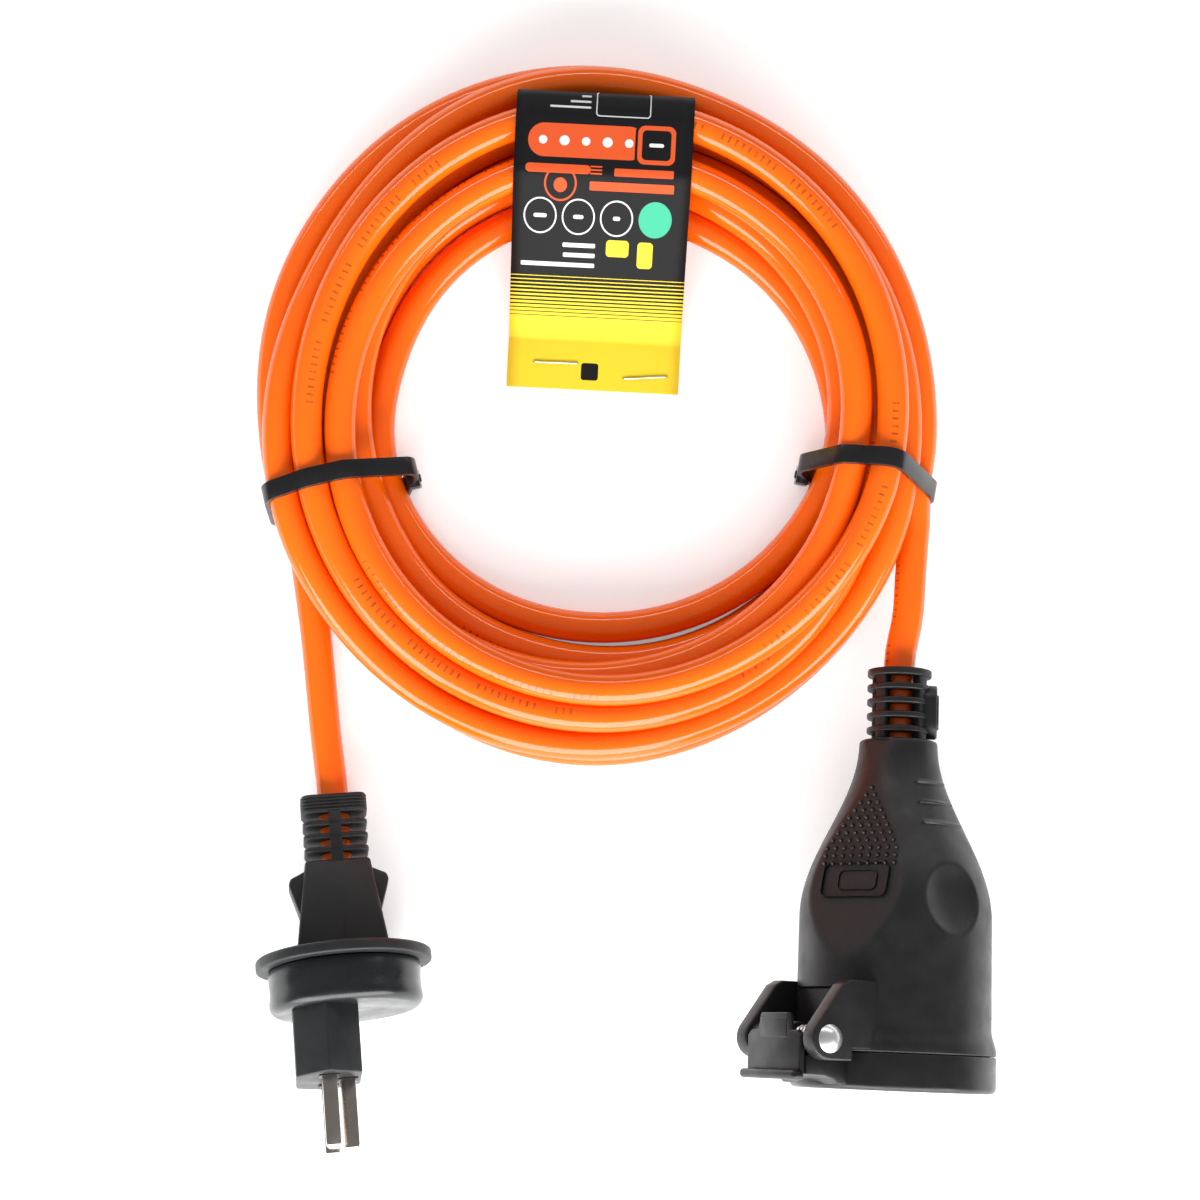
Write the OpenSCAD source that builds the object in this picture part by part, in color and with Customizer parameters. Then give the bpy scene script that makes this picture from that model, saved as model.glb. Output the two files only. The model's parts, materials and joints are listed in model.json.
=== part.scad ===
// Swiss type 23 rubber extension cord, coiled and tied: plug, cord, coupler with a sprung lid, label card.
// Millimetres, +Z up. The origin is the bottom centre of the whole object as it lies.

/* [Cord] */
// Outer diameter of the three-core sheath
cord_d = 8.6; // [7.6:0.1:9.4]
// Outer diameter of one insulated core
core_d = 2.8; // [2.2:0.1:3.2]

/* [Coil] */
// Radius of the hole through the coil
coil_inner_r = 55.5; // [52:0.5:58]
// Outer radius of the coil
coil_outer_r = 95; // [93:0.5:98]
// Height of the stacked turns
coil_h = 29; // [27:0.5:31]
// Edge rounding of the coil's outline
coil_round = 8; // [4:0.5:10]
// Coil centre, right of the origin
coil_x = -5.8; // [-10:0.1:-2]
// Coil centre, away from the plugs
coil_y = 53.3; // [51:0.1:55]

/* [Cable ties] */
// Width of the strap
tie_w = 4.4; // [3.6:0.2:5]
// Thickness of the strap
tie_t = 1.3; // [1:0.1:1.6]
// Bundle width inside the left tie
tie_left_bundle = 34.6; // [33:0.2:36]
// Bundle width inside the right tie
tie_right_bundle = 30; // [29:0.2:33]
// Length of the locking head along the strap
tie_head_l = 7.2; // [6:0.2:8]
// Width of the locking head along the cord
tie_head_w = 6.6; // [6:0.2:8]
// Thickness of the locking head
tie_head_t = 4.6; // [4:0.2:5]
// Height of the locking head's lower edge
tie_head_z = 9; // [8:0.5:12]

/* [Label card] */
// Width of the card
label_w = 48; // [40:1:56]
// Thickness of the card
label_t = 0.5; // [0.4:0.05:0.7]
// Height of the card over the turns that it holds down
label_h = 24.8; // [24:0.2:26]
// Width of a staple's crown
staple_w = 12.4; // [10:0.2:14]
// Thickness of the staple wire
staple_t = 0.5; // [0.4:0.05:0.6]

/* [Plug] */
// Width of the strain relief and of the grip's upper end
relief_w = 17.6; // [16.6:0.1:19]
// Thickness of the strain relief
relief_t = 12.5; // [12.1:0.1:14]
// Length of the ribbed end block of the strain relief
relief_block_l = 5.2; // [4.6:0.1:6]
// Width of the slots in the strain relief
relief_slot = 2.1; // [1.6:0.1:2.3]
// Distance from one slot to the next
relief_pitch = 3.7; // [3.5:0.1:3.9]
// Width of the bar that joins the ribs
relief_bar = 3.4; // [2.6:0.1:4.2]
// Length of the grip between the relief and the flange
grip_l = 25.6; // [24:0.2:28]
// Width of the grip at the flange
grip_w = 25.2; // [23:0.2:28]
// Thickness of the grip at the flange
grip_t = 17; // [16:0.2:20]
// Reach of a finger wing from the plug's axis
wing_reach = 13.6; // [13:0.1:15]
// Thickness of a finger wing
wing_t = 9; // [7:0.2:11]
// Distance from the relief to the lower end of a finger wing
wing_l = 16; // [15:0.5:18]
// Diameter of the flange
flange_d = 47.6; // [45.5:0.1:50]
// Thickness of the flange
flange_t = 3.2; // [2.6:0.1:4]
// Diameter of the sealing collar
collar_d = 41.4; // [41.2:0.1:41.6]
// Height of the sealing collar
collar_h = 12; // [11.4:0.1:12.4]
// Edge rounding of the sealing collar
collar_round = 2.5; // [1:0.1:3]
// Length of the nose beyond the collar
nose_l = 18; // [17:0.1:18.4]
// Width of the nose over its two pointed ends
nose_w = 36; // [35:0.1:36.4]
// Thickness of the nose over its flats
nose_t = 17.4; // [17:0.1:17.8]
// Width of the flats of the nose
nose_flat = 21.6; // [21:0.1:22]
// Distance of the line-neutral plane from the collar's axis
nose_offset = 6; // [5.6:0.1:6.2]

/* [Pins] */
// Free length of a pin
pin_l = 19; // [18.5:0.1:19.4]
// Pin size along the line-neutral plane
pin_w = 5; // [4.8:0.05:5.1]
// Pin size across the line-neutral plane
pin_t = 4; // [3.8:0.05:4.1]
// Distance between the line and neutral pins
pin_pitch = 19; // [18.8:0.1:19.2]
// Distance of the earth pin from the line-neutral plane
earth_offset = 5; // [4.9:0.1:5.2]
// Chamfer at a pin's tip
pin_chamfer = 1; // [0.6:0.1:1.2]
// Length of a pin that is held in the nose
pin_root = 24; // [23:0.2:25]

/* [Coupler] */
// Diameter of the strain relief
neck_d = 17.5; // [16.4:0.1:18.4]
// Length of the strain relief
neck_l = 20.8; // [20.2:0.1:22]
// Distance of the bars between the ribs from the coupler's axis
neck_bar = 5.1; // [4.8:0.1:5.4]
// Width of the slots in the strain relief
neck_slot = 2.3; // [1.8:0.1:2.5]
// Distance from one slot to the next
neck_pitch = 3.9; // [3.6:0.1:4]
// Diameter of the shoulder behind the strain relief
shoulder_d = 21.2; // [20:0.1:23]
// Diameter of the body
body_d = 51.6; // [51:0.1:53]
// Step of the rim under the lid beyond the body
rim_step = 1.5; // [1.2:0.1:2.2]
// Distance from the end of the relief to where the flare ends
flare_end = 68; // [66:0.5:71]
// Distance from the end of the relief to the lid's seam
seam_s = 103.5; // [102.6:0.1:105]
// Diameter of the thumb dimple
dimple_d = 20; // [18:0.5:22]
// Depth of the thumb dimple
dimple_depth = 1.8; // [1.2:0.1:2.2]
// Height of the grip ridges
ridge_h = 0.6; // [0.4:0.1:0.9]

/* [Socket] */
// Depth of the round well
well_depth = 12.6; // [12.5:0.1:13.2]
// Depth of the six-sided recess
recess_depth = 18.6; // [18.5:0.1:19]
// Thickness of the face in front of the contacts
face_t = 3; // [2.4:0.1:3.6]
// Length of a contact sleeve
contact_l = 17; // [16:0.2:17.6]
// Wall of a contact sleeve
contact_wall = 0.8; // [0.6:0.05:1]
// Depth of the contacts' backs in the insert
insert_back = 1.6; // [1.2:0.1:2]
// Length of a contact's crimp stub behind the insert
stub_l = 2; // [1.6:0.1:2.6]

/* [Lid] */
// Height of the lid
lid_h = 9.7; // [9.4:0.1:10.4]
// Thickness of the lid's end wall
lid_wall = 2.2; // [1.8:0.1:2.4]
// Edge rounding of the lid
lid_round = 1.6; // [1:0.1:2]
// Thickness of the gasket
gasket_t = 1.5; // [1.2:0.1:1.8]
// Width of the gasket's ring
gasket_w = 2; // [1.4:0.1:2.2]
// Outer diameter of the collar that the lid closes over
mouth_d = 47; // [46.4:0.1:47.4]
// Clearance around the collar inside the lid
lid_play = 1.1; // [1.05:0.05:1.3]
// Width of the lid's arm and thumb tab
arm_w = 26.4; // [25:0.2:28]
// Width of the upper part of the thumb tab
tab_w = 15; // [12:0.5:17]
// Thickness of the thumb tab
tab_t = 1.8; // [1.4:0.1:2.1]
// Reach of the thumb tab's lip
lip_reach = 2.2; // [1.6:0.1:2.6]

/* [Hinge] */
// Distance of the hinge pin outside the rim
hinge_out = 5.3; // [4.9:0.1:6.1]
// Distance of the hinge pin from the lid's seam
hinge_back = 2.9; // [2.7:0.1:3.2]
// Diameter of the hinge pin
hinge_pin_d = 4; // [3.4:0.1:4.2]
// Diameter of the hinge pin's domed head
hinge_head_d = 7.2; // [6.6:0.1:8]
// Height of the hinge pin's domed head
hinge_head_h = 1.6; // [1.2:0.1:2]
// Thickness of a hinge ear
ear_t = 5; // [4.4:0.1:5.4]
// Radius of an ear's rounded end
ear_r = 5.4; // [5.2:0.1:5.6]
// Outer radius of the lid's knuckle
knuckle_r = 4.3; // [4.1:0.1:4.4]
// Length of the lid's knuckle
knuckle_l = 17.4; // [16:0.2:18.4]
// Wire diameter of the torsion spring
spring_wire = 0.8; // [0.6:0.05:0.9]
// Turns of the torsion spring
spring_turns = 4.5; // [3.5:1:5.5]

/* [Fits] */
// Gap between a moulded part and what it holds
fit_gap = 0.1; // [0.08:0.01:0.14]
// Running clearance around the hinge pin
run_gap = 0.05; // [0.03:0.01:0.08]
// Free space around the pieces that move
move_gap = 0.3; // [0.25:0.05:0.35]
// Clearance of the round well around a plug's collar
well_play = 0.4; // [0.3:0.05:0.5]
// Clearance of the six-sided recess around a plug's nose
recess_play = 0.4; // [0.3:0.05:0.45]
// Clearance of a contact's slot around a pin
slot_play = 0.3; // [0.2:0.05:0.4]
// Step between the insert's seat and the well
seat_step = 0.3; // [0.2:0.05:0.4]

/* [Layout] */
// Tilt of the plug, pins up
plug_tilt = 18.5; // [17:0.5:20]
// Turn of the plug on the table
plug_yaw = 6; // [4:0.5:8]
// Roll of the plug about its own axis
plug_roll = -8.5; // [-11:0.5:-6]
// Tilt of the coupler, lid up
coupler_tilt = 10.5; // [9:0.5:12]
// Turn of the coupler on the table
coupler_yaw = -2.3; // [-4:0.1:-1]
// Direction of the hinge around the coupler
hinge_angle = 151.5; // [148:0.5:155]

/* [Hidden] */
$fn = 64;
eps = 0.01;
far = 200;

orange = [0.93, 0.33, 0.06];
black = [0.10, 0.10, 0.11];
soft_black = [0.14, 0.15, 0.15];
nickel = [0.68, 0.64, 0.60];
brown = [0.36, 0.20, 0.12];
blue = [0.13, 0.30, 0.62];
green = [0.20, 0.55, 0.22];
brass_tone = [0.78, 0.62, 0.30];

// Places of the plug's and the coupler's cord ends on the table
plug_x = -78.6;
plug_y = -53.6;
coupler_x = 77.6;
coupler_y = -18.2;

// Sheath: bore of both strain reliefs, and how far it reaches behind each relief
cord_bore_r = cord_d / 2 + fit_gap;
sheath_grip = 4;
core_ring = core_d * 0.6;
core_turn = 120;

// Places of the two ties: angle around the coil, and radius of the bundle's middle
coil_mid_r = (coil_inner_r + coil_outer_r) / 2;
tie_left_angle = 196.5;
tie_left_r = coil_mid_r;
tie_right_angle = -14;
tie_right_r = coil_mid_r + 2;
tie_skew = 4;

// Label card: stapled end, turn, and the route of its middle plane as [along, height]
label_x = -6.9;
label_y = 59.8;
label_turn = -2.9;
label_low = staple_t + label_t / 2 + 0.1;
label_high = label_low + label_t + 0.05;
label_inset = 6.7;
label_reach = coil_y + coil_outer_r - label_y - label_inset;
label_rise = coil_y + coil_inner_r - label_y;
label_shoulder = label_h - 7;
label_over = [
    [0, label_high], [11, label_high], [18, label_high + 1.4],
    [label_rise + 1, label_h - 3.2], [label_rise + 4, label_h - 0.9], [label_rise + 8, label_h - 0.05],
    [label_rise + 12, label_h], [label_reach - 8, label_h - 1.2], [label_reach - 5, label_h - 2.4],
    [label_reach - 2.4, label_shoulder]
];
label_route = concat(label_over, [
    [label_reach - 0.6, label_shoulder - 4], [label_reach, label_low + 8],
    [label_reach - 0.3, label_low + 3], [label_reach - 1.4, label_low + 0.9],
    [label_reach - 5, label_low], [0, label_low]
]);
// Staples: along the card's width, along its length, and turn
staples = [[-10.5, 7.3, 0.5], [14.6, 4.3, 5.5]];
staple_leg = 4.4;
staple_lift = 0.1;

// Places of the pins across the axis: line, neutral, earth
line_spot = [-nose_offset, pin_pitch / 2];
neutral_spot = [-nose_offset, -pin_pitch / 2];
earth_spot = [earth_offset - nose_offset, 0];

// Stations along the plug's axis, counted from the cord's entry
relief_slots = 4;
relief_round = 2.4;
grip_s = relief_block_l + relief_slots * relief_pitch - (relief_pitch - relief_slot);
flange_s = grip_s + grip_l;
collar_s = flange_s + flange_t;
nose_s = collar_s + collar_h;
tip_s = nose_s + nose_l;
plug_z = flange_d / 2 * cos(plug_tilt) - flange_s * sin(plug_tilt);
plug_cord_end = grip_s + sheath_grip;
pin_back_s = tip_s - pin_root;
// Spaces for the cores in the grip, in the flange and in the nose
plug_pocket_s = flange_s - 2;
plug_pocket_r = 7;
flange_floor = 1;
flange_pocket_r = pin_pitch / 2 + 3.5;
nose_cavity_s = pin_back_s + 2;
nose_cavity_wall = 1;

// Stations along the coupler's axis, counted from the cord's entry
lid_end_s = seam_s + lid_h;
mouth_s = lid_end_s - lid_wall - gasket_t - fit_gap;
insert_front = mouth_s - well_depth;
recess_floor = insert_front - recess_depth;
contact_front = recess_floor - face_t;
contact_back = contact_front - contact_l;
insert_rear = contact_back - insert_back;
stub_s = insert_rear - stub_l;
hinge_s = seam_s - hinge_back;
// Radii around the coupler's axis
well_r = collar_d / 2 + well_play;
seat_r = well_r - seat_step;
sleeve_t = pin_t + 2 * (contact_wall + fit_gap);
sleeve_w = pin_w + 2 * (contact_wall + fit_gap);
insert_wall = 1.5;
insert_rear_r = norm([nose_offset + sleeve_t / 2, (pin_pitch + sleeve_w) / 2]) + insert_wall;
// Space for the cores: a neck, a cone and a chamber
coupler_cord_end = neck_l + 2.3 * sheath_grip;
core_neck_r = cord_bore_r + 1.2;
core_cone_s = coupler_cord_end + 8;
core_chamber_s = core_cone_s + 12;
core_chamber_r = norm(line_spot) + core_d / 2 + 1;
// The outside's flare from the shoulder to the body, as [radius, station]
shoulder_s = neck_l - 0.8;
flare_steps = 24;
flare = [
    for (i = [0:flare_steps])
        let (u = i / flare_steps)
        [
            (shoulder_d + (body_d - shoulder_d) * (1 - cos(180 * u)) / 2) / 2,
            shoulder_s + (flare_end - shoulder_s) * u
        ]
];
coupler_z = max([for (p = flare) p[0] * cos(coupler_tilt) - p[1] * sin(coupler_tilt)]);
rim_len = 6;
rim_d = body_d + 2 * rim_step;
hinge_r = rim_d / 2 + hinge_out;
// Ribs and pad of the coupler's strain relief
neck_slots_n = 5;
neck_first = 2;
pad_w = 9.4;
pad_turn = 8;
pad_reach = neck_d / 2 + 1.6;
// Leaf-shaped face, its plaque, the thumb dimple and the ridges, as angles from the top and stations
leaf_angle = 38;
leaf_slope = 15.5;
leaf_s = 31;
leaf_r = 12.5;
plaque_s = 60;
plaque_size = [20, 9.4];
plaque_depth = 0.8;
dimple_angle = -36;
dimple_s = 59.5;
ridge_first = 31.5;
ridge_pitch = 5.6;
ridge_base = 0.5;

// Hinge: ears on the housing, and the recess between them
ear_in = arm_w / 2 + move_gap;
ear_out = ear_in + ear_t;
ear_top_s = hinge_s - 15.3;
ear_foot = hinge_r - 7;
ear_root = seat_r - 3.3;
ear_shoulder_s = seam_s - 0.5;
hinge_recess = well_r + 2.2;
hinge_bore_r = hinge_pin_d / 2 + run_gap;

// Lid
seam_gap = 0.15;
lid_r = rim_d / 2;
lid_inner_r = mouth_d / 2 + lid_play;
lid_low = seam_s + seam_gap / 3;
rim_top = lid_low - seam_gap;
tab_x = hinge_r + ear_r;
arm_low = hinge_s + knuckle_r;
arm_thin = lid_end_s - 3.4;
knuckle_y = arm_w / 2 - knuckle_l;
lip_r = 1.2;

// Torsion spring: coils around the pin beside the knuckle, one leg on the body, one on the thumb tab
spring_r = tab_x - tab_t - hinge_r - spring_wire / 2 - fit_gap;
spring_y = 1 - arm_w / 2;
spring_l = arm_w - knuckle_l - 2;
spring_sides = 14;
spring_steps = round(spring_turns * spring_sides);
spring_coil = [
    for (i = [0:spring_steps])
        let (a = 180 - 360 * i / spring_sides)
        [
            hinge_r + spring_r * cos(a),
            spring_y + spring_l * i / spring_steps,
            hinge_s + spring_r * sin(a)
        ]
];
spring_leg_body = [hinge_recess + spring_wire / 2 + fit_gap, spring_y, hinge_s - 9];
spring_leg_tab = [hinge_r + spring_r, spring_y + spring_l, hinge_s - 5.5];

// The point at a station on an axis that starts at p, turned by yaw and tilted up
function on_axis(p, tilt, yaw, s) = [
    p[0] + s * cos(tilt) * sin(yaw),
    p[1] - s * cos(tilt) * cos(yaw),
    p[2] + s * sin(tilt)
];
function plug_at(s) = on_axis([plug_x, plug_y, plug_z], plug_tilt, plug_yaw, s);
function coupler_at(s) = on_axis([coupler_x, coupler_y, coupler_z], coupler_tilt, coupler_yaw, s);

// Routes of the two free ends of the cord
plug_route = concat(
    [[-87.4, 19.8, 5.2], [-86.4, 11.8, 4.8], [-85, 1.8, 4.6], [-83.6, -9.2, 4.5], [-82.3, -22.2, 4.6]],
    [[-80.9, -36.2, 5.3], plug_at(-4), plug_at(4), plug_at(12), plug_at(plug_cord_end)]
);
coupler_route = concat(
    [[82.2, 23.8, 10.2], [81.5, 15.8, 10.6], [80.8, 6.8, 11.2], [80, -3.2, 12]],
    [coupler_at(-4), coupler_at(4), coupler_at(14), coupler_at(coupler_cord_end)]
);

// A point on the smooth curve through four points, between the second and the third
function spline(a, b, c, d, t) = 0.5 * (2 * b + (c - a) * t + (2 * a - 5 * b + 4 * c - d) * t * t
    + (3 * b - a - 3 * c + d) * t * t * t);
// The curve through a list of points, with some steps from each to the next
function curve(p, steps) = let (n = len(p)) concat(
    [
        for (i = [0:n - 2])
            for (k = [0:steps - 1])
                spline(p[max(i - 1, 0)], p[i], p[i + 1], p[min(i + 2, n - 1)], k / steps)
    ],
    [p[n - 1]]
);
function unit(v) = v / norm(v);
function tangent(p, i) = unit(p[min(i + 1, len(p) - 1)] - p[max(i - 1, 0)]);
// The outside radius of the coupler's flare at a station
function flare_r(s) = lookup(s, [for (p = flare) [p[1], p[0]]]);

// A round tube along a list of points that never runs straight up
module tube(p, r, sides) {
    rings = [
        for (i = [0:len(p) - 1])
            let (t = tangent(p, i), u = unit(cross(t, [0, 0, 1])), v = cross(u, t))
            for (k = [0:sides - 1])
                let (a = 360 * (k + 0.5) / sides)
                p[i] + r * (u * cos(a) + v * sin(a))
    ];
    last = (len(p) - 1) * sides;
    walls = [
        for (i = [0:len(p) - 2])
            for (k = [0:sides - 1])
                let (a = i * sides + k, b = i * sides + (k + 1) % sides)
                [a, b, b + sides, a + sides]
    ];
    caps = [[for (k = [0:sides - 1]) sides - 1 - k], [for (k = [0:sides - 1]) last + k]];
    polyhedron(rings, concat(walls, caps), convexity = 6);
}

// The same tube for a route that may run along its own frame's +Z
module wire(p, r, sides) {
    rotate([-90, 0, 0]) tube([for (q = p) [q[0], -q[2], q[1]]], r, sides);
}

// A core from the sheath's end to its pin or contact, straight at both ends
module core(start, spot, from, to) {
    bends = [[0, 0.12], [0.1, 0.45], [0.3, 0.7], [1, 0.93]];
    middle = [
        for (b = bends)
            let (m = start + (spot - start) * b[0])
            [m[0], m[1], from + (to - from) * b[1]]
    ];
    wire(
        concat([[start[0], start[1], from]], curve(middle, 4), [[spot[0], spot[1], to]]),
        core_d / 2, 8
    );
}

module in_plug() {
    translate([plug_x, plug_y, plug_z])
        rotate([90 - plug_tilt, 0, plug_yaw])
            rotate([0, 0, plug_roll])
                children();
}

module in_coupler() {
    translate([coupler_x, coupler_y, coupler_z])
        rotate([90 - coupler_tilt, 0, coupler_yaw])
            children();
}

// The coupler's frame turned so that +X points from its axis to the hinge
module in_hinge() {
    in_coupler() rotate([0, 0, hinge_angle]) children();
}

module in_label() {
    translate([label_x, label_y, 0]) rotate([0, 0, label_turn]) children();
}

// A cylinder along the axis from one station to another
module round_bar(from, to, r) {
    translate([0, 0, from]) cylinder(h = to - from, r = r);
}

// A rectangle with true round corners
module rounded(w, h, r) {
    square([w - 2 * r, h], center = true);
    square([w, h - 2 * r], center = true);
    for (x = [-1, 1])
        for (y = [-1, 1])
            translate([x * (w / 2 - r), y * (h / 2 - r)]) circle(r);
}

// The six-sided outline of nose and recess, grown by a gap, with its long axis along Y
module six_sided(gap) {
    half = nose_t / 2 + gap;
    flat = nose_flat / 2 + gap / 2;
    tip = nose_w / 2 + gap;
    polygon([[0, tip], [-half, flat], [-half, -flat], [0, -tip], [half, -flat], [half, flat]]);
}

// ---- cord ----

module coil_ring() {
    translate([coil_x, coil_y, 0])
        rotate_extrude($fn = 160)
            translate([coil_mid_r, coil_h / 2])
                rounded(coil_outer_r - coil_inner_r, coil_h, coil_round);
}

module cord_coil() {
    color(orange)
        difference() {
            coil_ring();
            tie_groove(tie_left_angle, tie_left_r, tie_left_bundle);
            tie_groove(tie_right_angle, tie_right_r, tie_right_bundle);
            label_space();
        }
}

module cord_tail_plug() {
    color(orange) tube(curve(plug_route, 4), cord_d / 2, 12);
}

module cord_tail_coupler() {
    color(orange) tube(curve(coupler_route, 4), cord_d / 2, 12);
}

// ---- cable ties ----

// Places its children at a tie, with +Y along the cord and +X outwards across the bundle
module at_tie(angle, r) {
    translate([coil_x + r * cos(angle), coil_y + r * sin(angle), coil_h / 2])
        rotate([0, 0, angle + tie_skew * sign(cos(angle))])
            children();
}

// The outline inside a tie's loop, made smaller by a gap
module inside_tie(bundle, gap) {
    rounded(bundle - 2 * gap, coil_h - 2 * (tie_t + gap), coil_round - tie_t - gap);
}

// The locking head, outside the loop on the bundle's inner side
module tie_head(bundle, gap) {
    translate([-(bundle + tie_head_t) / 2, 0, tie_head_z + (tie_head_l - coil_h) / 2])
        cube([tie_head_t + 2 * gap, tie_head_w + 2 * gap, tie_head_l + 2 * gap], center = true);
}

// What a tie takes out of the coil's outline
module tie_groove(angle, r, bundle) {
    at_tie(angle, r) {
        difference() {
            cube([coil_outer_r - coil_inner_r + 12, tie_w + 2 * fit_gap, coil_h + 2], center = true);
            translate([0, tie_w, 0])
                rotate([90, 0, 0])
                    linear_extrude(height = 2 * tie_w) inside_tie(bundle, fit_gap);
        }
        tie_head(bundle, fit_gap);
    }
}

module cable_tie(angle, r, bundle) {
    color(black)
        at_tie(angle, r) {
            translate([0, tie_w / 2, 0])
                rotate([90, 0, 0])
                    linear_extrude(height = tie_w)
                        difference() {
                            rounded(bundle + 2 * tie_t, coil_h, coil_round);
                            inside_tie(bundle, 0);
                        }
            tie_head(bundle, 0);
        }
}

module cable_tie_left() {
    cable_tie(tie_left_angle, tie_left_r, tie_left_bundle);
}

module cable_tie_right() {
    cable_tie(tie_right_angle, tie_right_r, tie_right_bundle);
}

// ---- label ----

// The side view of a strip of thickness t along the card's route
module strip(t) {
    n = len(label_route);
    side = [
        for (i = [0:n - 1])
            let (d = unit(label_route[min(i + 1, n - 1)] - label_route[max(i - 1, 0)]))
            [-d[1], d[0]] * t / 2
    ];
    left = [for (i = [0:n - 1]) label_route[i] + side[i]];
    right = [for (i = [n - 1:-1:0]) label_route[i] - side[i]];
    polygon(concat(left, right));
}

// A side view of the label pushed out to a width
module across_label(w) {
    rotate([90, 0, 90])
        translate([0, 0, -w / 2])
            linear_extrude(height = w) children();
}

module label_card() {
    color(black) in_label() across_label(label_w) strip(label_t);
}

// The way through, over and under the coil that the card needs
module label_space() {
    w = label_w + 2 * move_gap;
    in_label() {
        across_label(w) strip(label_t + 4 * fit_gap);
        across_label(w) polygon(concat([[0, coil_h + 1]], label_over, [[far, label_shoulder], [far, coil_h + 1]]));
        across_label(w) translate([0, -1]) square([label_reach, 1 + label_low + label_t / 2 + 2 * fit_gap]);
    }
}

// One staple: a crown on the card, two legs through it and their folded ends
module staple() {
    top = label_high + label_t / 2;
    translate([-staple_w / 2, -staple_t / 2, top]) cube([staple_w, staple_t, staple_t]);
    for (x = [0, 1])
        mirror([x, 0, 0])
            translate([staple_w / 2 - staple_t, -staple_t / 2, staple_lift]) {
                cube([staple_t, staple_t, top - staple_lift + eps]);
                translate([staple_t - staple_leg, 0, 0]) cube([staple_leg, staple_t, staple_t - 0.05]);
            }
}

module label_staples() {
    color(nickel)
        in_label()
            for (s = staples)
                translate([s[0], s[1], 0]) rotate([0, 0, s[2]]) staple();
}

// ---- plug ----

// A side view of the plug, as seen along Y, pushed out to both sides
module plug_side_y(w) {
    rotate([90, 0, 0])
        translate([0, 0, -w / 2])
            linear_extrude(height = w) children();
}

// A side view of the plug, as seen along X, pushed out to both sides
module plug_side_x(w) {
    rotate([90, 0, 90])
        translate([0, 0, -w / 2])
            linear_extrude(height = w) children();
}

// A block's side view that widens from the relief to the flange
module widening(from, to) {
    polygon([
        [-from / 2, grip_s], [from / 2, grip_s], [to / 2, flange_s + eps], [-to / 2, flange_s + eps]
    ]);
}

module grip_body() {
    intersection() {
        plug_side_y(2 * grip_t) widening(relief_w, grip_w);
        plug_side_x(2 * grip_w) widening(relief_t, grip_t);
    }
}

// Two arrow-shaped finger wings beside the grip
module finger_wings() {
    root = relief_w / 2;
    for (x = [0, 1])
        mirror([x, 0, 0])
            plug_side_y(wing_t)
                polygon([
                    [root - 2, grip_s + 1.5], [root + 0.4, grip_s + 3],
                    [wing_reach - 0.4, grip_s + 4.6], [wing_reach, grip_s + 6],
                    [root + 2, grip_s + wing_l - 1.5], [root - 2, grip_s + wing_l]
                ]);
}

module relief_ribs() {
    difference() {
        linear_extrude(height = grip_s + 2) rounded(relief_w, relief_t, relief_round);
        for (i = [0:relief_slots - 1])
            for (x = [0, 1])
                mirror([x, 0, 0])
                    translate([relief_bar / 2, -relief_t, relief_block_l + i * relief_pitch])
                        cube([relief_w, 2 * relief_t, relief_slot]);
    }
}

// The sheath's bore and the spaces where the cores spread to the pins
module plug_spaces() {
    round_bar(-1, plug_cord_end, cord_bore_r);
    translate([0, 0, plug_cord_end - eps])
        cylinder(h = plug_pocket_s - plug_cord_end + 2 * eps, r1 = cord_bore_r + 0.5, r2 = plug_pocket_r);
    round_bar(plug_pocket_s, collar_s + 1, plug_pocket_r);
    translate([-nose_offset / 2, 0, 0]) round_bar(flange_s + flange_floor, collar_s + 1, flange_pocket_r);
}

module plug_grip() {
    color(soft_black)
        in_plug()
            difference() {
                union() {
                    relief_ribs();
                    grip_body();
                    finger_wings();
                    translate([0, 0, flange_s]) cylinder(h = flange_t, d = flange_d, $fn = 128);
                }
                plug_spaces();
            }
}

// Half section of the collar, with a rounded lower edge
module collar_section() {
    r = collar_d / 2;
    square([r - collar_round, collar_h]);
    square([r, collar_h - collar_round]);
    translate([r - collar_round, collar_h - collar_round]) circle(collar_round);
}

module plug_collar() {
    color(soft_black)
        in_plug()
            difference() {
                translate([0, 0, collar_s]) rotate_extrude($fn = 128) collar_section();
                translate([-nose_offset, 0, collar_s - 1])
                    linear_extrude(height = collar_h + 2) six_sided(fit_gap);
            }
}

module plug_nose() {
    hole = [pin_t + 2 * fit_gap, pin_w + 2 * fit_gap];
    color(black)
        in_plug()
            difference() {
                translate([-nose_offset, 0, collar_s])
                    linear_extrude(height = tip_s - collar_s) six_sided(0);
                for (spot = [line_spot, neutral_spot, earth_spot])
                    translate([spot[0], spot[1], collar_s])
                        linear_extrude(height = far) square(hole, center = true);
                translate([-nose_offset, 0, collar_s - 1])
                    linear_extrude(height = nose_cavity_s - collar_s + 1) six_sided(-nose_cavity_wall);
            }
}

// A pin's side view of width w, chamfered at the tip
module pin_side(w) {
    end = tip_s + pin_l;
    half = w / 2;
    polygon([
        [-half, pin_back_s], [half, pin_back_s], [half, end - pin_chamfer],
        [half - pin_chamfer, end], [pin_chamfer - half, end], [-half, end - pin_chamfer]
    ]);
}

module pin(spot) {
    color(nickel)
        in_plug()
            translate([spot[0], spot[1], 0])
                intersection() {
                    plug_side_y(pin_w) pin_side(pin_t);
                    plug_side_x(pin_t) pin_side(pin_w);
                }
}

module plug_pin_line() {
    pin(line_spot);
}

module plug_pin_neutral() {
    pin(neutral_spot);
}

module plug_pin_earth() {
    pin(earth_spot);
}

// A core of the plug, from its angle in the sheath to its pin
module plug_core(angle, spot) {
    in_plug() core(core_ring * [cos(angle), sin(angle)], spot, plug_cord_end, pin_back_s);
}

module plug_core_line() {
    color(brown) plug_core(core_turn, line_spot);
}

module plug_core_neutral() {
    color(blue) plug_core(-core_turn, neutral_spot);
}

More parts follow.
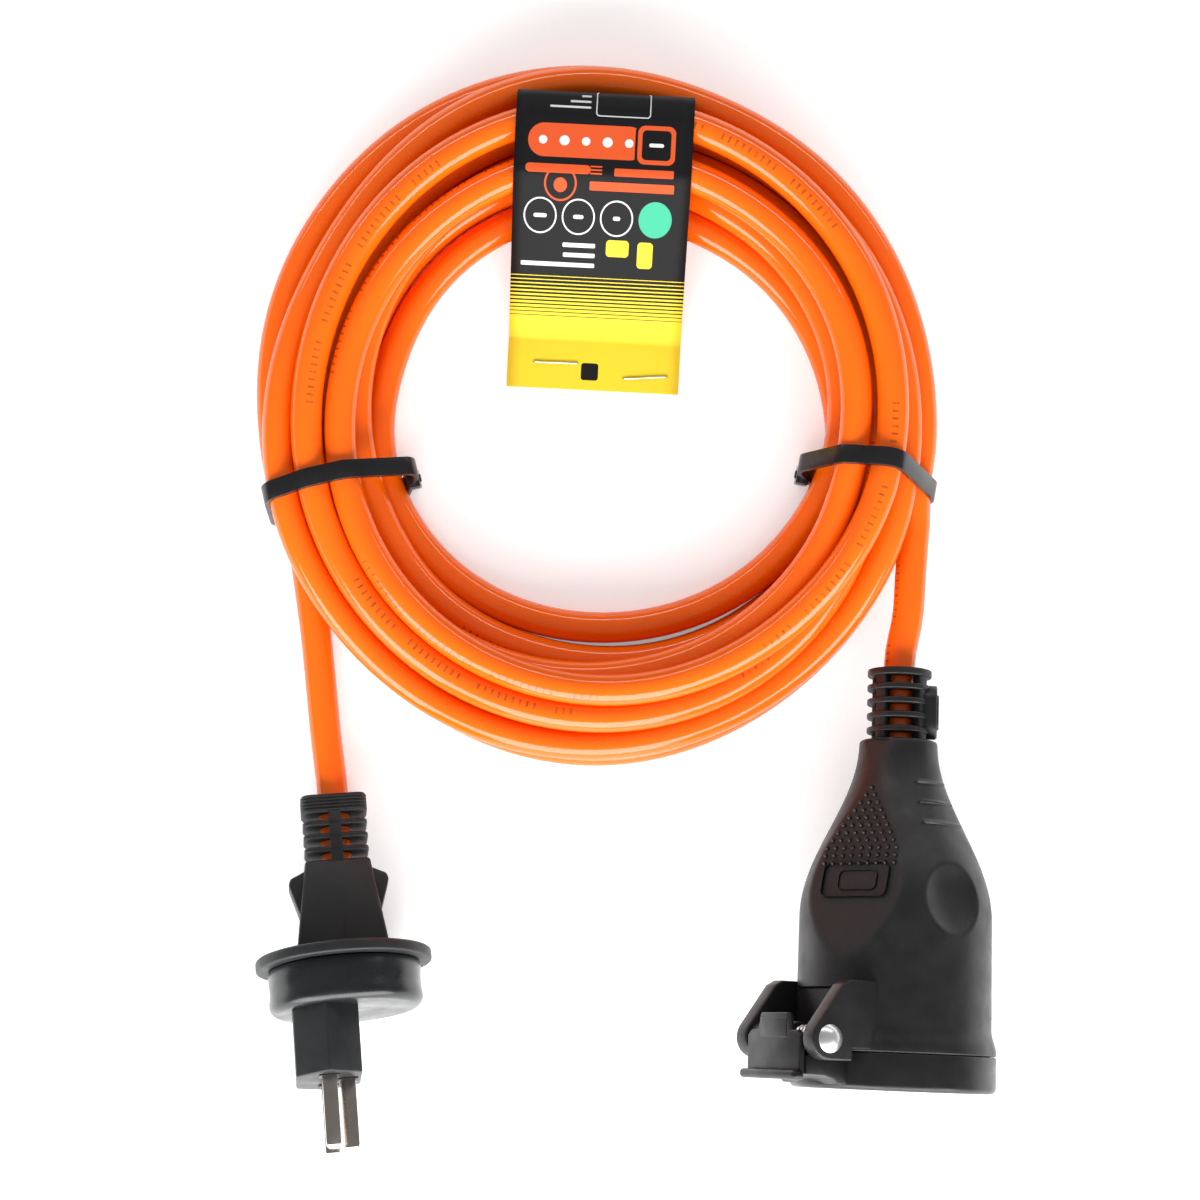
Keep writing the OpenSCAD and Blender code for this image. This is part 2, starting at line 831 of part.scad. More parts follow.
module plug_core_earth() {
    color(green) plug_core(0, earth_spot);
}

// ---- coupler ----

// Half section of the coupler's outside
module coupler_section() {
    polygon(concat(
        [[0, 0], [neck_d / 2, 0], [neck_d / 2, shoulder_s]],
        flare,
        [
            [body_d / 2 + 0.2, seam_s - rim_len], [rim_d / 2 - 0.3, seam_s - 1.6], [rim_d / 2, seam_s - 0.8],
            [rim_d / 2, rim_top], [mouth_d / 2, rim_top], [mouth_d / 2, mouth_s], [0, mouth_s]
        ]
    ));
}

// Slots that leave the ribs and four bars of the strain relief
module neck_slots() {
    for (i = [0:neck_slots_n - 1])
        for (a = [0, 90])
            translate([0, 0, neck_first + neck_slot / 2 + i * neck_pitch])
                rotate([0, 0, a]) cube([2 * neck_d, 2 * neck_bar, neck_slot], center = true);
}

// An oval pad on the side of the strain relief
module relief_pad() {
    rotate([0, 0, pad_turn])
        translate([pad_reach - 3.8, 0, neck_l / 2 + 1])
            rotate([0, 90, 0])
                linear_extrude(height = 3.8) rounded(neck_l - 6, pad_w, pad_w / 2 - 0.1);
}

// Places its children in the plane of the leaf-shaped face, with +Y away from the coupler
module on_leaf() {
    rotate([0, 0, leaf_angle])
        translate([0, leaf_r, leaf_s])
            rotate([-leaf_slope, 0, 0]) children();
}

// The flat cut of the leaf-shaped face, with its sunk plaque
module leaf_cut() {
    on_leaf() {
        translate([-body_d / 2, 0, 0]) cube([body_d, body_d / 2, seam_s - leaf_s]);
        translate([0, eps, plaque_s - leaf_s])
            rotate([90, 0, 0])
                linear_extrude(height = plaque_depth + eps) rounded(plaque_size[0], plaque_size[1], 1.5);
    }
}

module thumb_dimple() {
    ball = (dimple_d * dimple_d / 4 + dimple_depth * dimple_depth) / (2 * dimple_depth);
    rotate([0, 0, dimple_angle])
        translate([0, flare_r(dimple_s) + ball - dimple_depth, dimple_s]) sphere(ball, $fn = 96);
}

module grip_ridges() {
    for (i = [0:2])
        let (s = ridge_first + i * ridge_pitch, r = flare_r(s))
        translate([0, 0, s])
            rotate([0, 0, 22])
                rotate_extrude(angle = 55, $fn = 96)
                    translate([r - ridge_base, 0])
                        polygon([
                            [0, -0.7], [ridge_base + ridge_h, -0.25],
                            [ridge_base + ridge_h, 0.25], [0, 0.7]
                        ]);
}

// Side outline of a hinge ear, as [from the axis, station]
module ear_outline() {
    difference() {
        union() {
            polygon([
                [ear_root, ear_top_s], [hinge_r - 5.6, ear_top_s],
                [hinge_r + ear_r * 0.82, hinge_s - ear_r * 0.57], [hinge_r, hinge_s + ear_r],
                [ear_foot, hinge_s + ear_r], [ear_foot, ear_shoulder_s], [ear_root, ear_shoulder_s]
            ]);
            translate([hinge_r, hinge_s]) circle(ear_r);
        }
        translate([hinge_r, hinge_s]) circle(hinge_bore_r, $fn = 48);
    }
}

module hinge_ears() {
    rotate([0, 0, hinge_angle])
        for (y = [-ear_out, ear_in])
            translate([0, y + ear_t, 0])
                rotate([90, 0, 0])
                    linear_extrude(height = ear_t) ear_outline();
}

// The recess between the ears for the knuckle and the thumb tab
module hinge_space() {
    rotate([0, 0, hinge_angle])
        translate([hinge_recess, -ear_in, ear_top_s + 2])
            cube([hinge_r, 2 * ear_in, seam_s - ear_top_s]);
}

// The sheath's bore, the space for the cores, the insert's seat and the round well
module coupler_spaces() {
    round_bar(-1, coupler_cord_end, cord_bore_r);
    round_bar(coupler_cord_end - eps, core_cone_s + 2, core_neck_r);
    translate([0, 0, core_cone_s])
        cylinder(h = core_chamber_s - core_cone_s, r1 = core_neck_r, r2 = core_chamber_r);
    round_bar(core_chamber_s - eps, insert_rear + 1, core_chamber_r);
    round_bar(insert_rear, contact_front + eps, insert_rear_r + fit_gap);
    round_bar(contact_front, insert_front + eps, seat_r, $fn = 128);
    round_bar(insert_front, mouth_s + 1, well_r, $fn = 128);
}

module coupler_housing() {
    color(soft_black)
        in_coupler()
            difference() {
                union() {
                    difference() {
                        union() {
                            rotate_extrude($fn = 128) coupler_section();
                            for (a = [0, 180])
                                rotate([0, 0, a]) grip_ridges();
                        }
                        neck_slots();
                        for (a = [0, 180])
                            rotate([0, 0, a]) {
                                leaf_cut();
                                thumb_dimple();
                            }
                        hinge_space();
                    }
                    relief_pad();
                    hinge_ears();
                }
                coupler_spaces();
            }
}

// The insert sits in the hinge's frame, with the recess's long axis along the hinge pin
module coupler_insert() {
    hole = [pin_t + 2 * slot_play, pin_w + 2 * slot_play];
    pocket = [sleeve_t + 2 * fit_gap, sleeve_w + 2 * fit_gap];
    color(black)
        in_hinge()
            difference() {
                union() {
                    round_bar(insert_rear, contact_front + 1, insert_rear_r);
                    round_bar(contact_front, insert_front, seat_r - fit_gap, $fn = 128);
                }
                translate([-nose_offset, 0, recess_floor])
                    linear_extrude(height = recess_depth + 1) six_sided(recess_play);
                for (spot = [line_spot, neutral_spot, earth_spot])
                    translate([spot[0], spot[1], insert_rear - 1]) {
                        linear_extrude(height = far) square(hole, center = true);
                        linear_extrude(height = contact_front - insert_rear + 1)
                            square(pocket, center = true);
                    }
            }
}

// A folded contact: an open sleeve with a slit, a back wall and a crimp stub
module contact(spot) {
    outer = [sleeve_t, sleeve_w];
    inner = outer - 2 * [contact_wall, contact_wall];
    color(brass_tone)
        in_hinge()
            translate([spot[0], spot[1], contact_back]) {
                difference() {
                    linear_extrude(height = contact_l - fit_gap) square(outer, center = true);
                    translate([0, 0, contact_wall])
                        linear_extrude(height = contact_l) square(inner, center = true);
                    translate([-sleeve_t, -0.3, contact_l / 3]) cube([sleeve_t, 0.6, contact_l]);
                }
                translate([0, 0, -insert_back - stub_l])
                    cylinder(h = insert_back + stub_l + eps, d = core_d + 0.4, $fn = 32);
            }
}

module coupler_contact_line() {
    contact(neutral_spot);
}

module coupler_contact_neutral() {
    contact(line_spot);
}

module coupler_contact_earth() {
    contact(earth_spot);
}

// A core of the coupler, from its angle in the sheath to its contact
module coupler_core(angle, spot) {
    in_hinge() core(core_ring * [cos(angle), sin(angle)], spot, coupler_cord_end, stub_s);
}

module coupler_core_line() {
    color(brown) coupler_core(-core_turn, neutral_spot);
}

module coupler_core_neutral() {
    color(blue) coupler_core(core_turn, line_spot);
}

module coupler_core_earth() {
    color(green) coupler_core(0, earth_spot);
}

// ---- lid ----

// Half section of the lid's cap, closed below as well
module lid_section() {
    translate([0, lid_low]) square([lid_r, lid_end_s - lid_round - lid_low]);
    translate([0, lid_low]) square([lid_r - lid_round, lid_end_s - lid_low]);
    intersection() {
        translate([lid_r - lid_round, lid_end_s - lid_round]) circle(lid_round);
        square([lid_r, lid_end_s]);
    }
}

// Side outline of the arm between the cap and the thumb tab
module arm_outline() {
    root = lid_inner_r * 0.75;
    polygon([
        [root, arm_low], [tab_x - tab_t, arm_low], [tab_x - tab_t, arm_thin],
        [hinge_r - 2, arm_thin + 0.2], [hinge_r - 5, arm_thin + 1], [lid_r - 1, lid_end_s - 1.2],
        [root, lid_end_s - 1.2]
    ]);
}

// A stepped plate behind the knuckle, with a rounded lip along its lower edge
module thumb_tab() {
    tab_top = hinge_s - 6.4;
    wide_top = hinge_s - 2;
    wide = arm_w - 1.4;
    lip = lip_reach - lip_r;
    translate([tab_x - tab_t, -wide / 2, wide_top]) cube([tab_t, wide, arm_thin - wide_top]);
    translate([tab_x - tab_t, -tab_w / 2, tab_top]) cube([tab_t, tab_w, wide_top - tab_top + eps]);
    translate([tab_x - tab_t, -arm_w / 2, arm_thin - 1]) cube([tab_t + lip, arm_w, 2 * lip_r]);
    translate([tab_x + lip, -arm_w / 2, arm_thin - 1 + lip_r])
        rotate([-90, 0, 0]) cylinder(h = arm_w, r = lip_r, $fn = 32);
}

// The sleeve around the hinge pin, joined to arm and tab
module knuckle() {
    translate([hinge_r, knuckle_y, hinge_s])
        rotate([-90, 0, 0]) cylinder(h = knuckle_l, r = knuckle_r, $fn = 48);
    translate([hinge_r - 2.5, knuckle_y, hinge_s])
        cube([tab_x - hinge_r + 1, knuckle_l, arm_low - hinge_s + 1]);
}

module lid() {
    color(soft_black)
        in_hinge()
            difference() {
                union() {
                    rotate_extrude($fn = 128) lid_section();
                    translate([0, arm_w / 2, 0])
                        rotate([90, 0, 0]) linear_extrude(height = arm_w) arm_outline();
                    thumb_tab();
                    knuckle();
                }
                translate([hinge_r, -arm_w, hinge_s])
                    rotate([-90, 0, 0]) cylinder(h = 2 * arm_w, r = hinge_bore_r, $fn = 48);
                translate([hinge_r - 4.6, -arm_w / 2 - 1, arm_low + 0.9]) cube([5.6, 3, 2.2]);
                translate([0, 0, lid_low - 1])
                    cylinder(h = lid_end_s - lid_wall - lid_low + 1, r = lid_inner_r, $fn = 128);
            }
}

module lid_gasket() {
    color(black)
        in_hinge()
            translate([0, 0, lid_end_s - lid_wall - gasket_t])
                difference() {
                    cylinder(h = gasket_t, d = mouth_d, $fn = 128);
                    translate([0, 0, -1]) cylinder(h = gasket_t + 2, r = mouth_d / 2 - gasket_w, $fn = 128);
                }
}

module lid_spring() {
    color(nickel)
        in_hinge()
            wire(concat([spring_leg_body], spring_coil, [spring_leg_tab]), spring_wire / 2, 8);
}

module hinge_pin() {
    ball = (hinge_head_d * hinge_head_d / 4 + hinge_head_h * hinge_head_h) / (2 * hinge_head_h);
    color([0.86, 0.86, 0.86])
        in_hinge()
            translate([hinge_r, -ear_out, hinge_s])
                rotate([-90, 0, 0]) {
                    translate([0, 0, -0.5])
                        cylinder(h = 2 * ear_out + 1, d = hinge_pin_d, $fn = 48);
                    intersection() {
                        translate([0, 0, ball - hinge_head_h]) sphere(ball);
                        translate([0, 0, -hinge_head_h - 1]) cylinder(h = hinge_head_h + 1, d = hinge_head_d);
                    }
                }
}

cord_coil();
cord_tail_plug();
cord_tail_coupler();
cable_tie_left();
cable_tie_right();
label_card();
label_staples();
plug_grip();
plug_collar();
plug_nose();
plug_pin_line();
plug_pin_neutral();
plug_pin_earth();
plug_core_line();
plug_core_neutral();
plug_core_earth();
coupler_housing();
coupler_insert();
coupler_contact_line();
coupler_contact_neutral();
coupler_contact_earth();
coupler_core_line();
coupler_core_neutral();
coupler_core_earth();
lid();
lid_gasket();
lid_spring();
hinge_pin();
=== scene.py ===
"""Looks of a coiled rubber extension cord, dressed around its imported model.

The sizes in the classes are millimetres in each moulding's own frame. A finished piece's mesh is moved into the
model's frame and into metres. The cord's turns are worked out from where its strands lie at ten places of the coil.
"""

import json
import logging
import math
from dataclasses import dataclass, field
from enum import Enum
from typing import Callable, Iterable, Sequence

import bmesh
import bpy
import numpy as np
from mathutils import Matrix, Vector

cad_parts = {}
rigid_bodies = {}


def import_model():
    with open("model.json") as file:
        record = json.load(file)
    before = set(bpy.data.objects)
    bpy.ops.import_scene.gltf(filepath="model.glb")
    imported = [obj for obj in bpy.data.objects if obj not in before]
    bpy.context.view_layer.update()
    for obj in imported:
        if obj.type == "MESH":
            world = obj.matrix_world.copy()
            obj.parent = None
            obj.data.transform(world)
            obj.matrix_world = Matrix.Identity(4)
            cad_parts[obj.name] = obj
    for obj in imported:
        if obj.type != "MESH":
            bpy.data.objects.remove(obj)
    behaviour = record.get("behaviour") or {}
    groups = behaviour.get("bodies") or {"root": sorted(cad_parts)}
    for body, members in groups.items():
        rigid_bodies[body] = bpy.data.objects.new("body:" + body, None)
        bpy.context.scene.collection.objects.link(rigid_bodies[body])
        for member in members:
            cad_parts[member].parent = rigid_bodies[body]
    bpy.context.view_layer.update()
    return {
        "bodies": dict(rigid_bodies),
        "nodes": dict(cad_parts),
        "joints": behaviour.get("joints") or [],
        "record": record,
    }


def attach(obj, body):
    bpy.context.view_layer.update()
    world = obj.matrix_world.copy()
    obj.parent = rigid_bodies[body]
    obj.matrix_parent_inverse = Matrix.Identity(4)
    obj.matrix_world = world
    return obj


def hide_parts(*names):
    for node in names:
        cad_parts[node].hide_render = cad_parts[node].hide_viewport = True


LOG = logging.getLogger("extension_cord")
MM = 0.001
FULL_TURN = 2 * math.pi
Point2 = tuple[float, float]
Color = tuple[float, float, float]
BMesh = bmesh.types.BMesh
Socket = bpy.types.NodeSocket
# A radius past which a cut leaves the body as it is
NO_CUT = 1e3


class Body(Enum):
    """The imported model's bodies."""

    ROOT = "root"
    LID = "lid"


# ---- materials ----


class Tree:
    """A node tree of one material, with a Principled shader and short ways to add nodes to it."""

    def __init__(self, name: str, color: Color, roughness: float) -> None:
        """Starts a material of one colour and roughness.

        Args:
            name: The material's name.
            color: Base colour, linear.
            roughness: Roughness of the surface.
        """
        self.material = bpy.data.materials.new(name)
        self.material.use_nodes = True
        self.nodes = self.material.node_tree.nodes
        self.links = self.material.node_tree.links
        self.shader = self.nodes["Principled BSDF"]
        self.shader.inputs["Base Color"].default_value = (*color, 1.0)
        self.shader.inputs["Roughness"].default_value = roughness

    def node(self, kind: str, **settings: object) -> bpy.types.Node:
        """Adds a node.

        Args:
            kind: The node's type.
            settings: Properties to set on it.

        Returns:
            The node.
        """
        made = self.nodes.new(kind)
        for name, value in settings.items():
            setattr(made, name, value)
        return made

    def put(self, value: object, socket: Socket) -> None:
        """Links an output socket to an input, or writes a plain value to it.

        Args:
            value: The socket or value.
            socket: The input.
        """
        if isinstance(value, Socket):
            self.links.new(value, socket)
        else:
            socket.default_value = value

    def math(self, operation: str, *values: object, clamp: bool = False) -> Socket:
        """Adds a Math node.

        Args:
            operation: The node's operation.
            values: Its inputs, sockets or numbers.
            clamp: Keeps the result from 0 to 1.

        Returns:
            The result's socket.
        """
        made = self.node("ShaderNodeMath", operation=operation, use_clamp=clamp)
        for value, socket in zip(values, made.inputs):
            self.put(value, socket)
        return made.outputs[0]

    def mix(self, share: object, first: object, second: object) -> Socket:
        """Mixes two colours.

        Args:
            share: Share of the second one.
            first: The first colour, a socket or plain.
            second: The second colour, a socket or plain.

        Returns:
            The result's socket.
        """
        made = self.node("ShaderNodeMix", data_type="RGBA")
        for value, index in ((share, 0), (first, 6), (second, 7)):
            plain = not isinstance(value, Socket) and index > 0
            self.put((*value, 1.0) if plain else value, made.inputs[index])
        return made.outputs[2]

    def noise(self, scale: float, detail: float = 2.0, stretch: Point2 | None = None) -> Socket:
        """Adds noise on Object coordinates.

        Args:
            scale: Cells in a metre.
            detail: Octaves of finer noise.
            stretch: Scales along the UV map's U and V, where the noise follows that instead.

        Returns:
            The noise's Fac socket.
        """
        place = self.node("ShaderNodeTexCoord")
        made = self.node("ShaderNodeTexNoise")
        made.inputs["Scale"].default_value = scale
        made.inputs["Detail"].default_value = detail
        if stretch is None:
            self.put(place.outputs["Object"], made.inputs["Vector"])
        else:
            mapping = self.node("ShaderNodeMapping")
            mapping.inputs["Scale"].default_value = (*stretch, 1.0)
            self.put(place.outputs["UV"], mapping.inputs["Vector"])
            self.put(mapping.outputs["Vector"], made.inputs["Vector"])
        return made.outputs["Fac"]

    def remap(self, value: object, low: float, high: float, out_low: float, out_high: float) -> Socket:
        """Maps a range of values to another, clamped.

        Args:
            value: The value.
            low: Start of its range.
            high: End of its range.
            out_low: Result at the start.
            out_high: Result at the end.

        Returns:
            The result's socket.
        """
        made = self.node("ShaderNodeMapRange")
        for number, socket in zip((value, low, high, out_low, out_high), made.inputs):
            self.put(number, socket)
        return made.outputs[0]

    def bump(self, height: object, strength: float, distance: float) -> None:
        """Adds a bump to the shader's normal, over the bump that is there.

        Args:
            height: The height's socket.
            strength: Strength of the bump.
            distance: Height of the bump in metres.
        """
        made = self.node("ShaderNodeBump")
        made.inputs["Strength"].default_value = strength
        made.inputs["Distance"].default_value = distance
        self.put(height, made.inputs["Height"])
        normal = self.shader.inputs["Normal"]
        if normal.is_linked:
            self.put(normal.links[0].from_socket, made.inputs["Normal"])
        self.put(made.outputs["Normal"], normal)


@dataclass(frozen=True)
class Finish:
    """A plain moulded or metal finish: colour, gloss, grain and slow variation."""

    name: str
    color: Color
    roughness: float
    metallic: float = 0.0
    coat: float = 0.0
    grain: float = 0.0
    grain_size: float = 0.3
    cloud: float = 0.15
    roughness_spread: float = 0.08
    specular: float = 0.4

    def make(self) -> bpy.types.Material:
        """Makes the material.

        Returns:
            The new material.
        """
        tree = Tree(self.name, self.color, self.roughness)
        tree.shader.inputs["Metallic"].default_value = self.metallic
        tree.shader.inputs["Specular IOR Level"].default_value = self.specular
        tree.shader.inputs["Coat Weight"].default_value = self.coat
        tree.shader.inputs["Coat Roughness"].default_value = 0.2
        clouds = tree.noise(140.0, 3.0)
        dark = tuple(c * (1 - self.cloud) for c in self.color)
        light = tuple(min(1.0, c * (1 + self.cloud)) for c in self.color)
        tree.put(tree.mix(clouds, dark, light), tree.shader.inputs["Base Color"])
        low, high = self.roughness - self.roughness_spread, self.roughness + self.roughness_spread
        tree.put(tree.remap(clouds, 0.3, 0.7, low, high), tree.shader.inputs["Roughness"])
        if self.grain:
            tree.bump(tree.noise(1 / (self.grain_size * MM), 3.0), self.grain, 0.05 * MM)
        return tree.material


RUBBER = Finish("moulded_rubber", (0.010, 0.010, 0.011), 0.43, grain=0.7, grain_size=0.45, cloud=0.12)
LID_RUBBER = Finish("lid_rubber", (0.009, 0.009, 0.010), 0.38, grain=0.4, grain_size=0.4)
GRIP_RUBBER = Finish("grip_rubber", (0.013, 0.014, 0.015), 0.5, grain=0.5, grain_size=0.5)
COLLAR_RUBBER = Finish("collar_rubber", (0.009, 0.011, 0.012), 0.3, grain=0.12, grain_size=0.5, coat=0.2)
NOSE_PLASTIC = Finish("nose_plastic", (0.013, 0.014, 0.015), 0.45, grain=0.7, grain_size=0.6)
NYLON = Finish("tie_nylon", (0.008, 0.008, 0.009), 0.25, grain=0.05, grain_size=0.8, coat=0.15)
GASKET = Finish("gasket_rubber", (0.03, 0.03, 0.03), 0.6, grain=0.3)
NICKEL = Finish("pin_nickel", (0.56, 0.50, 0.45), 0.24, metallic=1.0, grain=0.03, grain_size=0.9, cloud=0.08)
WIRE = Finish("staple_wire", (0.66, 0.65, 0.63), 0.25, metallic=1.0, grain=0.1, cloud=0.08)
SPRING = Finish("spring_steel", (0.5, 0.5, 0.49), 0.3, metallic=1.0, grain=0.1)
RIVET = Finish("rivet_steel", (0.86, 0.86, 0.86), 0.3, metallic=0.9, grain=0.15, grain_size=0.8, cloud=0.05)
BRASS = Finish("contact_brass", (0.7, 0.5, 0.2), 0.28, metallic=1.0, grain=0.1)
CORE_BROWN = Finish("core_brown", (0.16, 0.06, 0.03), 0.45)
CORE_BLUE = Finish("core_blue", (0.03, 0.1, 0.4), 0.45)
CORE_GREEN = Finish("core_green", (0.06, 0.3, 0.06), 0.45)


# ---- meshes ----


def arc(centre: Point2, radius: float, start: float, end: float, steps: int) -> list[Point2]:
    """Points along an arc.

    Args:
        centre: Centre of the arc.
        radius: Its radius.
        start: First angle in degrees.
        end: Last angle in degrees.
        steps: Number of stretches.

    Returns:
        The points, both ends included.
    """
    angles = (math.radians(start + (end - start) * i / steps) for i in range(steps + 1))
    return [(centre[0] + radius * math.cos(a), centre[1] + radius * math.sin(a)) for a in angles]


def rounded_box(width: float, height: float, radius: float, steps: int = 5) -> list[Point2]:
    """The outline of a rectangle with round corners, about the origin.

    Args:
        width: Its width.
        height: Its height.
        radius: Radius of the corners.
        steps: Number of stretches in a corner.

    Returns:
        The points.
    """
    outline: list[Point2] = []
    for quarter, (x, y) in enumerate(((1, 1), (-1, 1), (-1, -1), (1, -1))):
        centre = (x * (width / 2 - radius), y * (height / 2 - radius))
        outline += arc(centre, radius, 90 * quarter, 90 * quarter + 90, steps)
    return outline


def turned(degrees: float, axis: str) -> Matrix:
    """A turn about an axis."""
    return Matrix.Rotation(math.radians(degrees), 4, axis)


def new_verts(grown: Iterable[object]) -> list[bmesh.types.BMVert]:
    """The vertices among what an operator made."""
    return [made for made in grown if isinstance(made, bmesh.types.BMVert)]


def joined(parts: Iterable[BMesh]) -> BMesh:
    """Puts several meshes into one.

    Args:
        parts: The meshes, which it frees.

    Returns:
        The one mesh.
    """
    whole = bmesh.new()
    for part in parts:
        passing = bpy.data.meshes.new("passing")
        part.to_mesh(passing)
        part.free()
        whole.from_mesh(passing)
        bpy.data.meshes.remove(passing)
    return whole


def placed(part: BMesh, *moves: Matrix) -> BMesh:
    """Moves a mesh by the product of some matrices.

    Args:
        part: The mesh.
        moves: The matrices.

    Returns:
        The same mesh.
    """
    whole = Matrix.Identity(4)
    for move in moves:
        whole = whole @ move
    bmesh.ops.transform(part, matrix=whole, verts=part.verts)
    return part


def bevelled(part: BMesh, edges: list[bmesh.types.BMEdge], width: float, segments: int) -> BMesh:
    """Bevels some edges of a mesh.

    Args:
        part: The mesh.
        edges: The edges.
        width: Width of the bevel.
        segments: Its segments.

    Returns:
        The same mesh.
    """
    bmesh.ops.bevel(
        part, geom=edges, offset=width, offset_type="OFFSET", segments=segments, profile=0.5,
        affect="EDGES", clamp_overlap=True, material=-1)
    return part


def soften(part: BMesh, width: float, segments: int = 2, angle: float = 30.0) -> BMesh:
    """Bevels a mesh's sharp edges.

    Args:
        part: The mesh.
        width: Width of the bevel.
        segments: Its segments.
        angle: Edges flatter than this many degrees stay.

    Returns:
        The same mesh.
    """
    sharp = [e for e in part.edges if e.is_manifold and e.calc_face_angle() > math.radians(angle)]
    return bevelled(part, sharp, width, segments)


def block(size: Sequence[float], centre: Sequence[float], bevel: float, segments: int = 2) -> BMesh:
    """A box with softened edges.

    Args:
        size: Its three sizes.
        centre: Its middle.
        bevel: Width of the bevel.
        segments: Segments of the bevel.

    Returns:
        The closed mesh.
    """
    part = bmesh.new()
    bmesh.ops.create_cube(part, size=1.0, matrix=Matrix.Translation(centre) @ Matrix.Diagonal((*size, 1.0)))
    return soften(part, bevel, segments)


def slab(outline: Sequence[Point2], depth: float, bevel: float = 0.0, segments: int = 2) -> BMesh:
    """An outline in the XY plane pushed up along Z.

    Args:
        outline: Its points.
        depth: Height of the slab.
        bevel: Width of the bevel around its edges.
        segments: Segments of the bevel.

    Returns:
        The closed mesh.
    """
    part = bmesh.new()
    face = part.faces.new([part.verts.new((x, y, 0.0)) for x, y in outline])
    grown = bmesh.ops.extrude_face_region(part, geom=[face])["geom"]
    bmesh.ops.translate(part, vec=(0.0, 0.0, depth), verts=new_verts(grown))
    bmesh.ops.recalc_face_normals(part, faces=part.faces)
    return soften(part, bevel, segments) if bevel else part


def tapered(first: Point2, last: Point2, low: float, high: float) -> BMesh:
    """A box between two stations that changes its size from one to the other.

    Args:
        first: X and Y size at the lower station.
        last: X and Y size at the upper station.
        low: The lower station.
        high: The upper station.

    Returns:
        The closed mesh.
    """
    part = bmesh.new()
    bmesh.ops.create_cube(part, size=1.0, matrix=Matrix.Translation((0, 0, 0.5)))
    for vert in part.verts:
        upper = vert.co.z > 0.5
        wide, deep = last if upper else first
        vert.co = (vert.co.x * wide, vert.co.y * deep, high if upper else low)
    return part


def lathe(profile: Sequence[Point2], steps: int = 96, closed: bool = False) -> BMesh:
    """Spins a half section of [radius, station] points about Z.

    Args:
        profile: The section's points.
        steps: Steps of the full turn.
        closed: Joins the last point to the first.

    Returns:
        The spun mesh, its normals outwards.
    """
    part = bmesh.new()
    verts = [part.verts.new((r, 0.0, s)) for r, s in profile]
    pairs = list(zip(verts, verts[1:])) + ([(verts[-1], verts[0])] if closed else [])
    edges = [part.edges.new(pair) for pair in pairs]
    bmesh.ops.spin(
        part, geom=verts + edges, cent=(0, 0, 0), axis=(0, 0, 1), dvec=(0, 0, 0), angle=FULL_TURN,
        steps=steps, use_merge=True, use_duplicate=False,
    )
    bmesh.ops.remove_doubles(part, verts=part.verts, dist=1e-4)
    bmesh.ops.recalc_face_normals(part, faces=part.faces)
    return part


def frames_along(points: Sequence[Vector], up: Vector) -> list[Matrix]:
    """Frames that travel along a path without twisting, their Z along it.

    Args:
        points: The path's points.
        up: A direction that the first frame's Y leans to.

    Returns:
        One matrix for each point.
    """
    frames = []
    y = up.copy()
    last = len(points) - 1
    for i, point in enumerate(points):
        z = (points[min(i + 1, last)] - points[max(i - 1, 0)]).normalized()
        x = y.cross(z).normalized()
        y = z.cross(x).normalized()
        frame = Matrix((x, y, z)).transposed().to_4x4()
        frame.translation = point
        frames.append(frame)
    return frames


def tube(points: Sequence[Vector], radius: float, sides: int, turn: Callable[[float], float] | None = None,
         up: Vector = Vector((0.0, 0.0, 1.0))) -> BMesh:
    """A round bar along a path, capped, with a UV map of length along and share around.

    Args:
        points: The path's points.
        radius: Radius of the bar.
        sides: Sides of the bar.
        turn: Gives the shift of the UV map around the bar at a length.
        up: A direction across the path's start.

    Returns:
        The mesh.
    """
    part = bmesh.new()
    uv = part.loops.layers.uv.new("UVMap")
    frames = frames_along(points, up)
    ring = bmesh.ops.create_circle(part, cap_ends=False, radius=radius, segments=sides, matrix=frames[0])["verts"]
    ring = sorted(ring, key=lambda v: math.atan2(*(frames[0].inverted() @ v.co).yx))
    ends = [list(ring)]
    length = 0.0
    for before, after in zip(frames, frames[1:]):
        step = (after.translation - before.translation).length
        edges = [part.edges.get((ring[i], ring[(i + 1) % sides])) for i in range(sides)]
        grown = bmesh.ops.extrude_edge_only(part, edges=edges)["geom"]
        fresh = new_verts(grown)
        bmesh.ops.transform(part, matrix=after @ before.inverted(), verts=fresh)
        nearest = {v: next(e.other_vert(v) for e in v.link_edges if e.other_vert(v) not in fresh) for v in fresh}
        back = {old: new for new, old in nearest.items()}
        shifts = [turn(length) if turn else 0.0, turn(length + step) if turn else 0.0]
        for i in range(sides):
            pair = (ring[i], ring[(i + 1) % sides])
            face = next(f for f in part.edges.get(pair).link_faces if back[ring[i]] in f.verts)
            for loop in face.loops:
                new = loop.vert in nearest
                old = nearest.get(loop.vert, loop.vert)
                around = (i if old is pair[0] else i + 1) / sides
                loop[uv].uv = (length + step * new, around + shifts[new])
        ring = [back[v] for v in ring]
        length += step
    ends.append(ring)
    for end in ends:
        part.faces.new(end)
    bmesh.ops.recalc_face_normals(part, faces=part.faces)
    return part


def hull_2d(points: Iterable[Point2]) -> list[Point2]:
    """The convex hull of points in a plane.

    Args:
        points: The points.

    Returns:
        The hull's points, counter-clockwise.
    """
    ordered = sorted(set(points))

    def chain(run: Iterable[Point2]) -> list[Point2]:
        """One side of the hull.

        Args:
            run: The points in order.

        Returns:
            The side's points, without its last.
        """
        side: list[Point2] = []
        for p in run:
            while len(side) > 1:
                (ax, ay), (bx, by) = side[-2], side[-1]
                if (bx - ax) * (p[1] - ay) - (by - ay) * (p[0] - ax) > 1e-9:
                    break
                side.pop()
            side.append(p)
        return side[:-1]

    return chain(ordered) + chain(reversed(ordered))


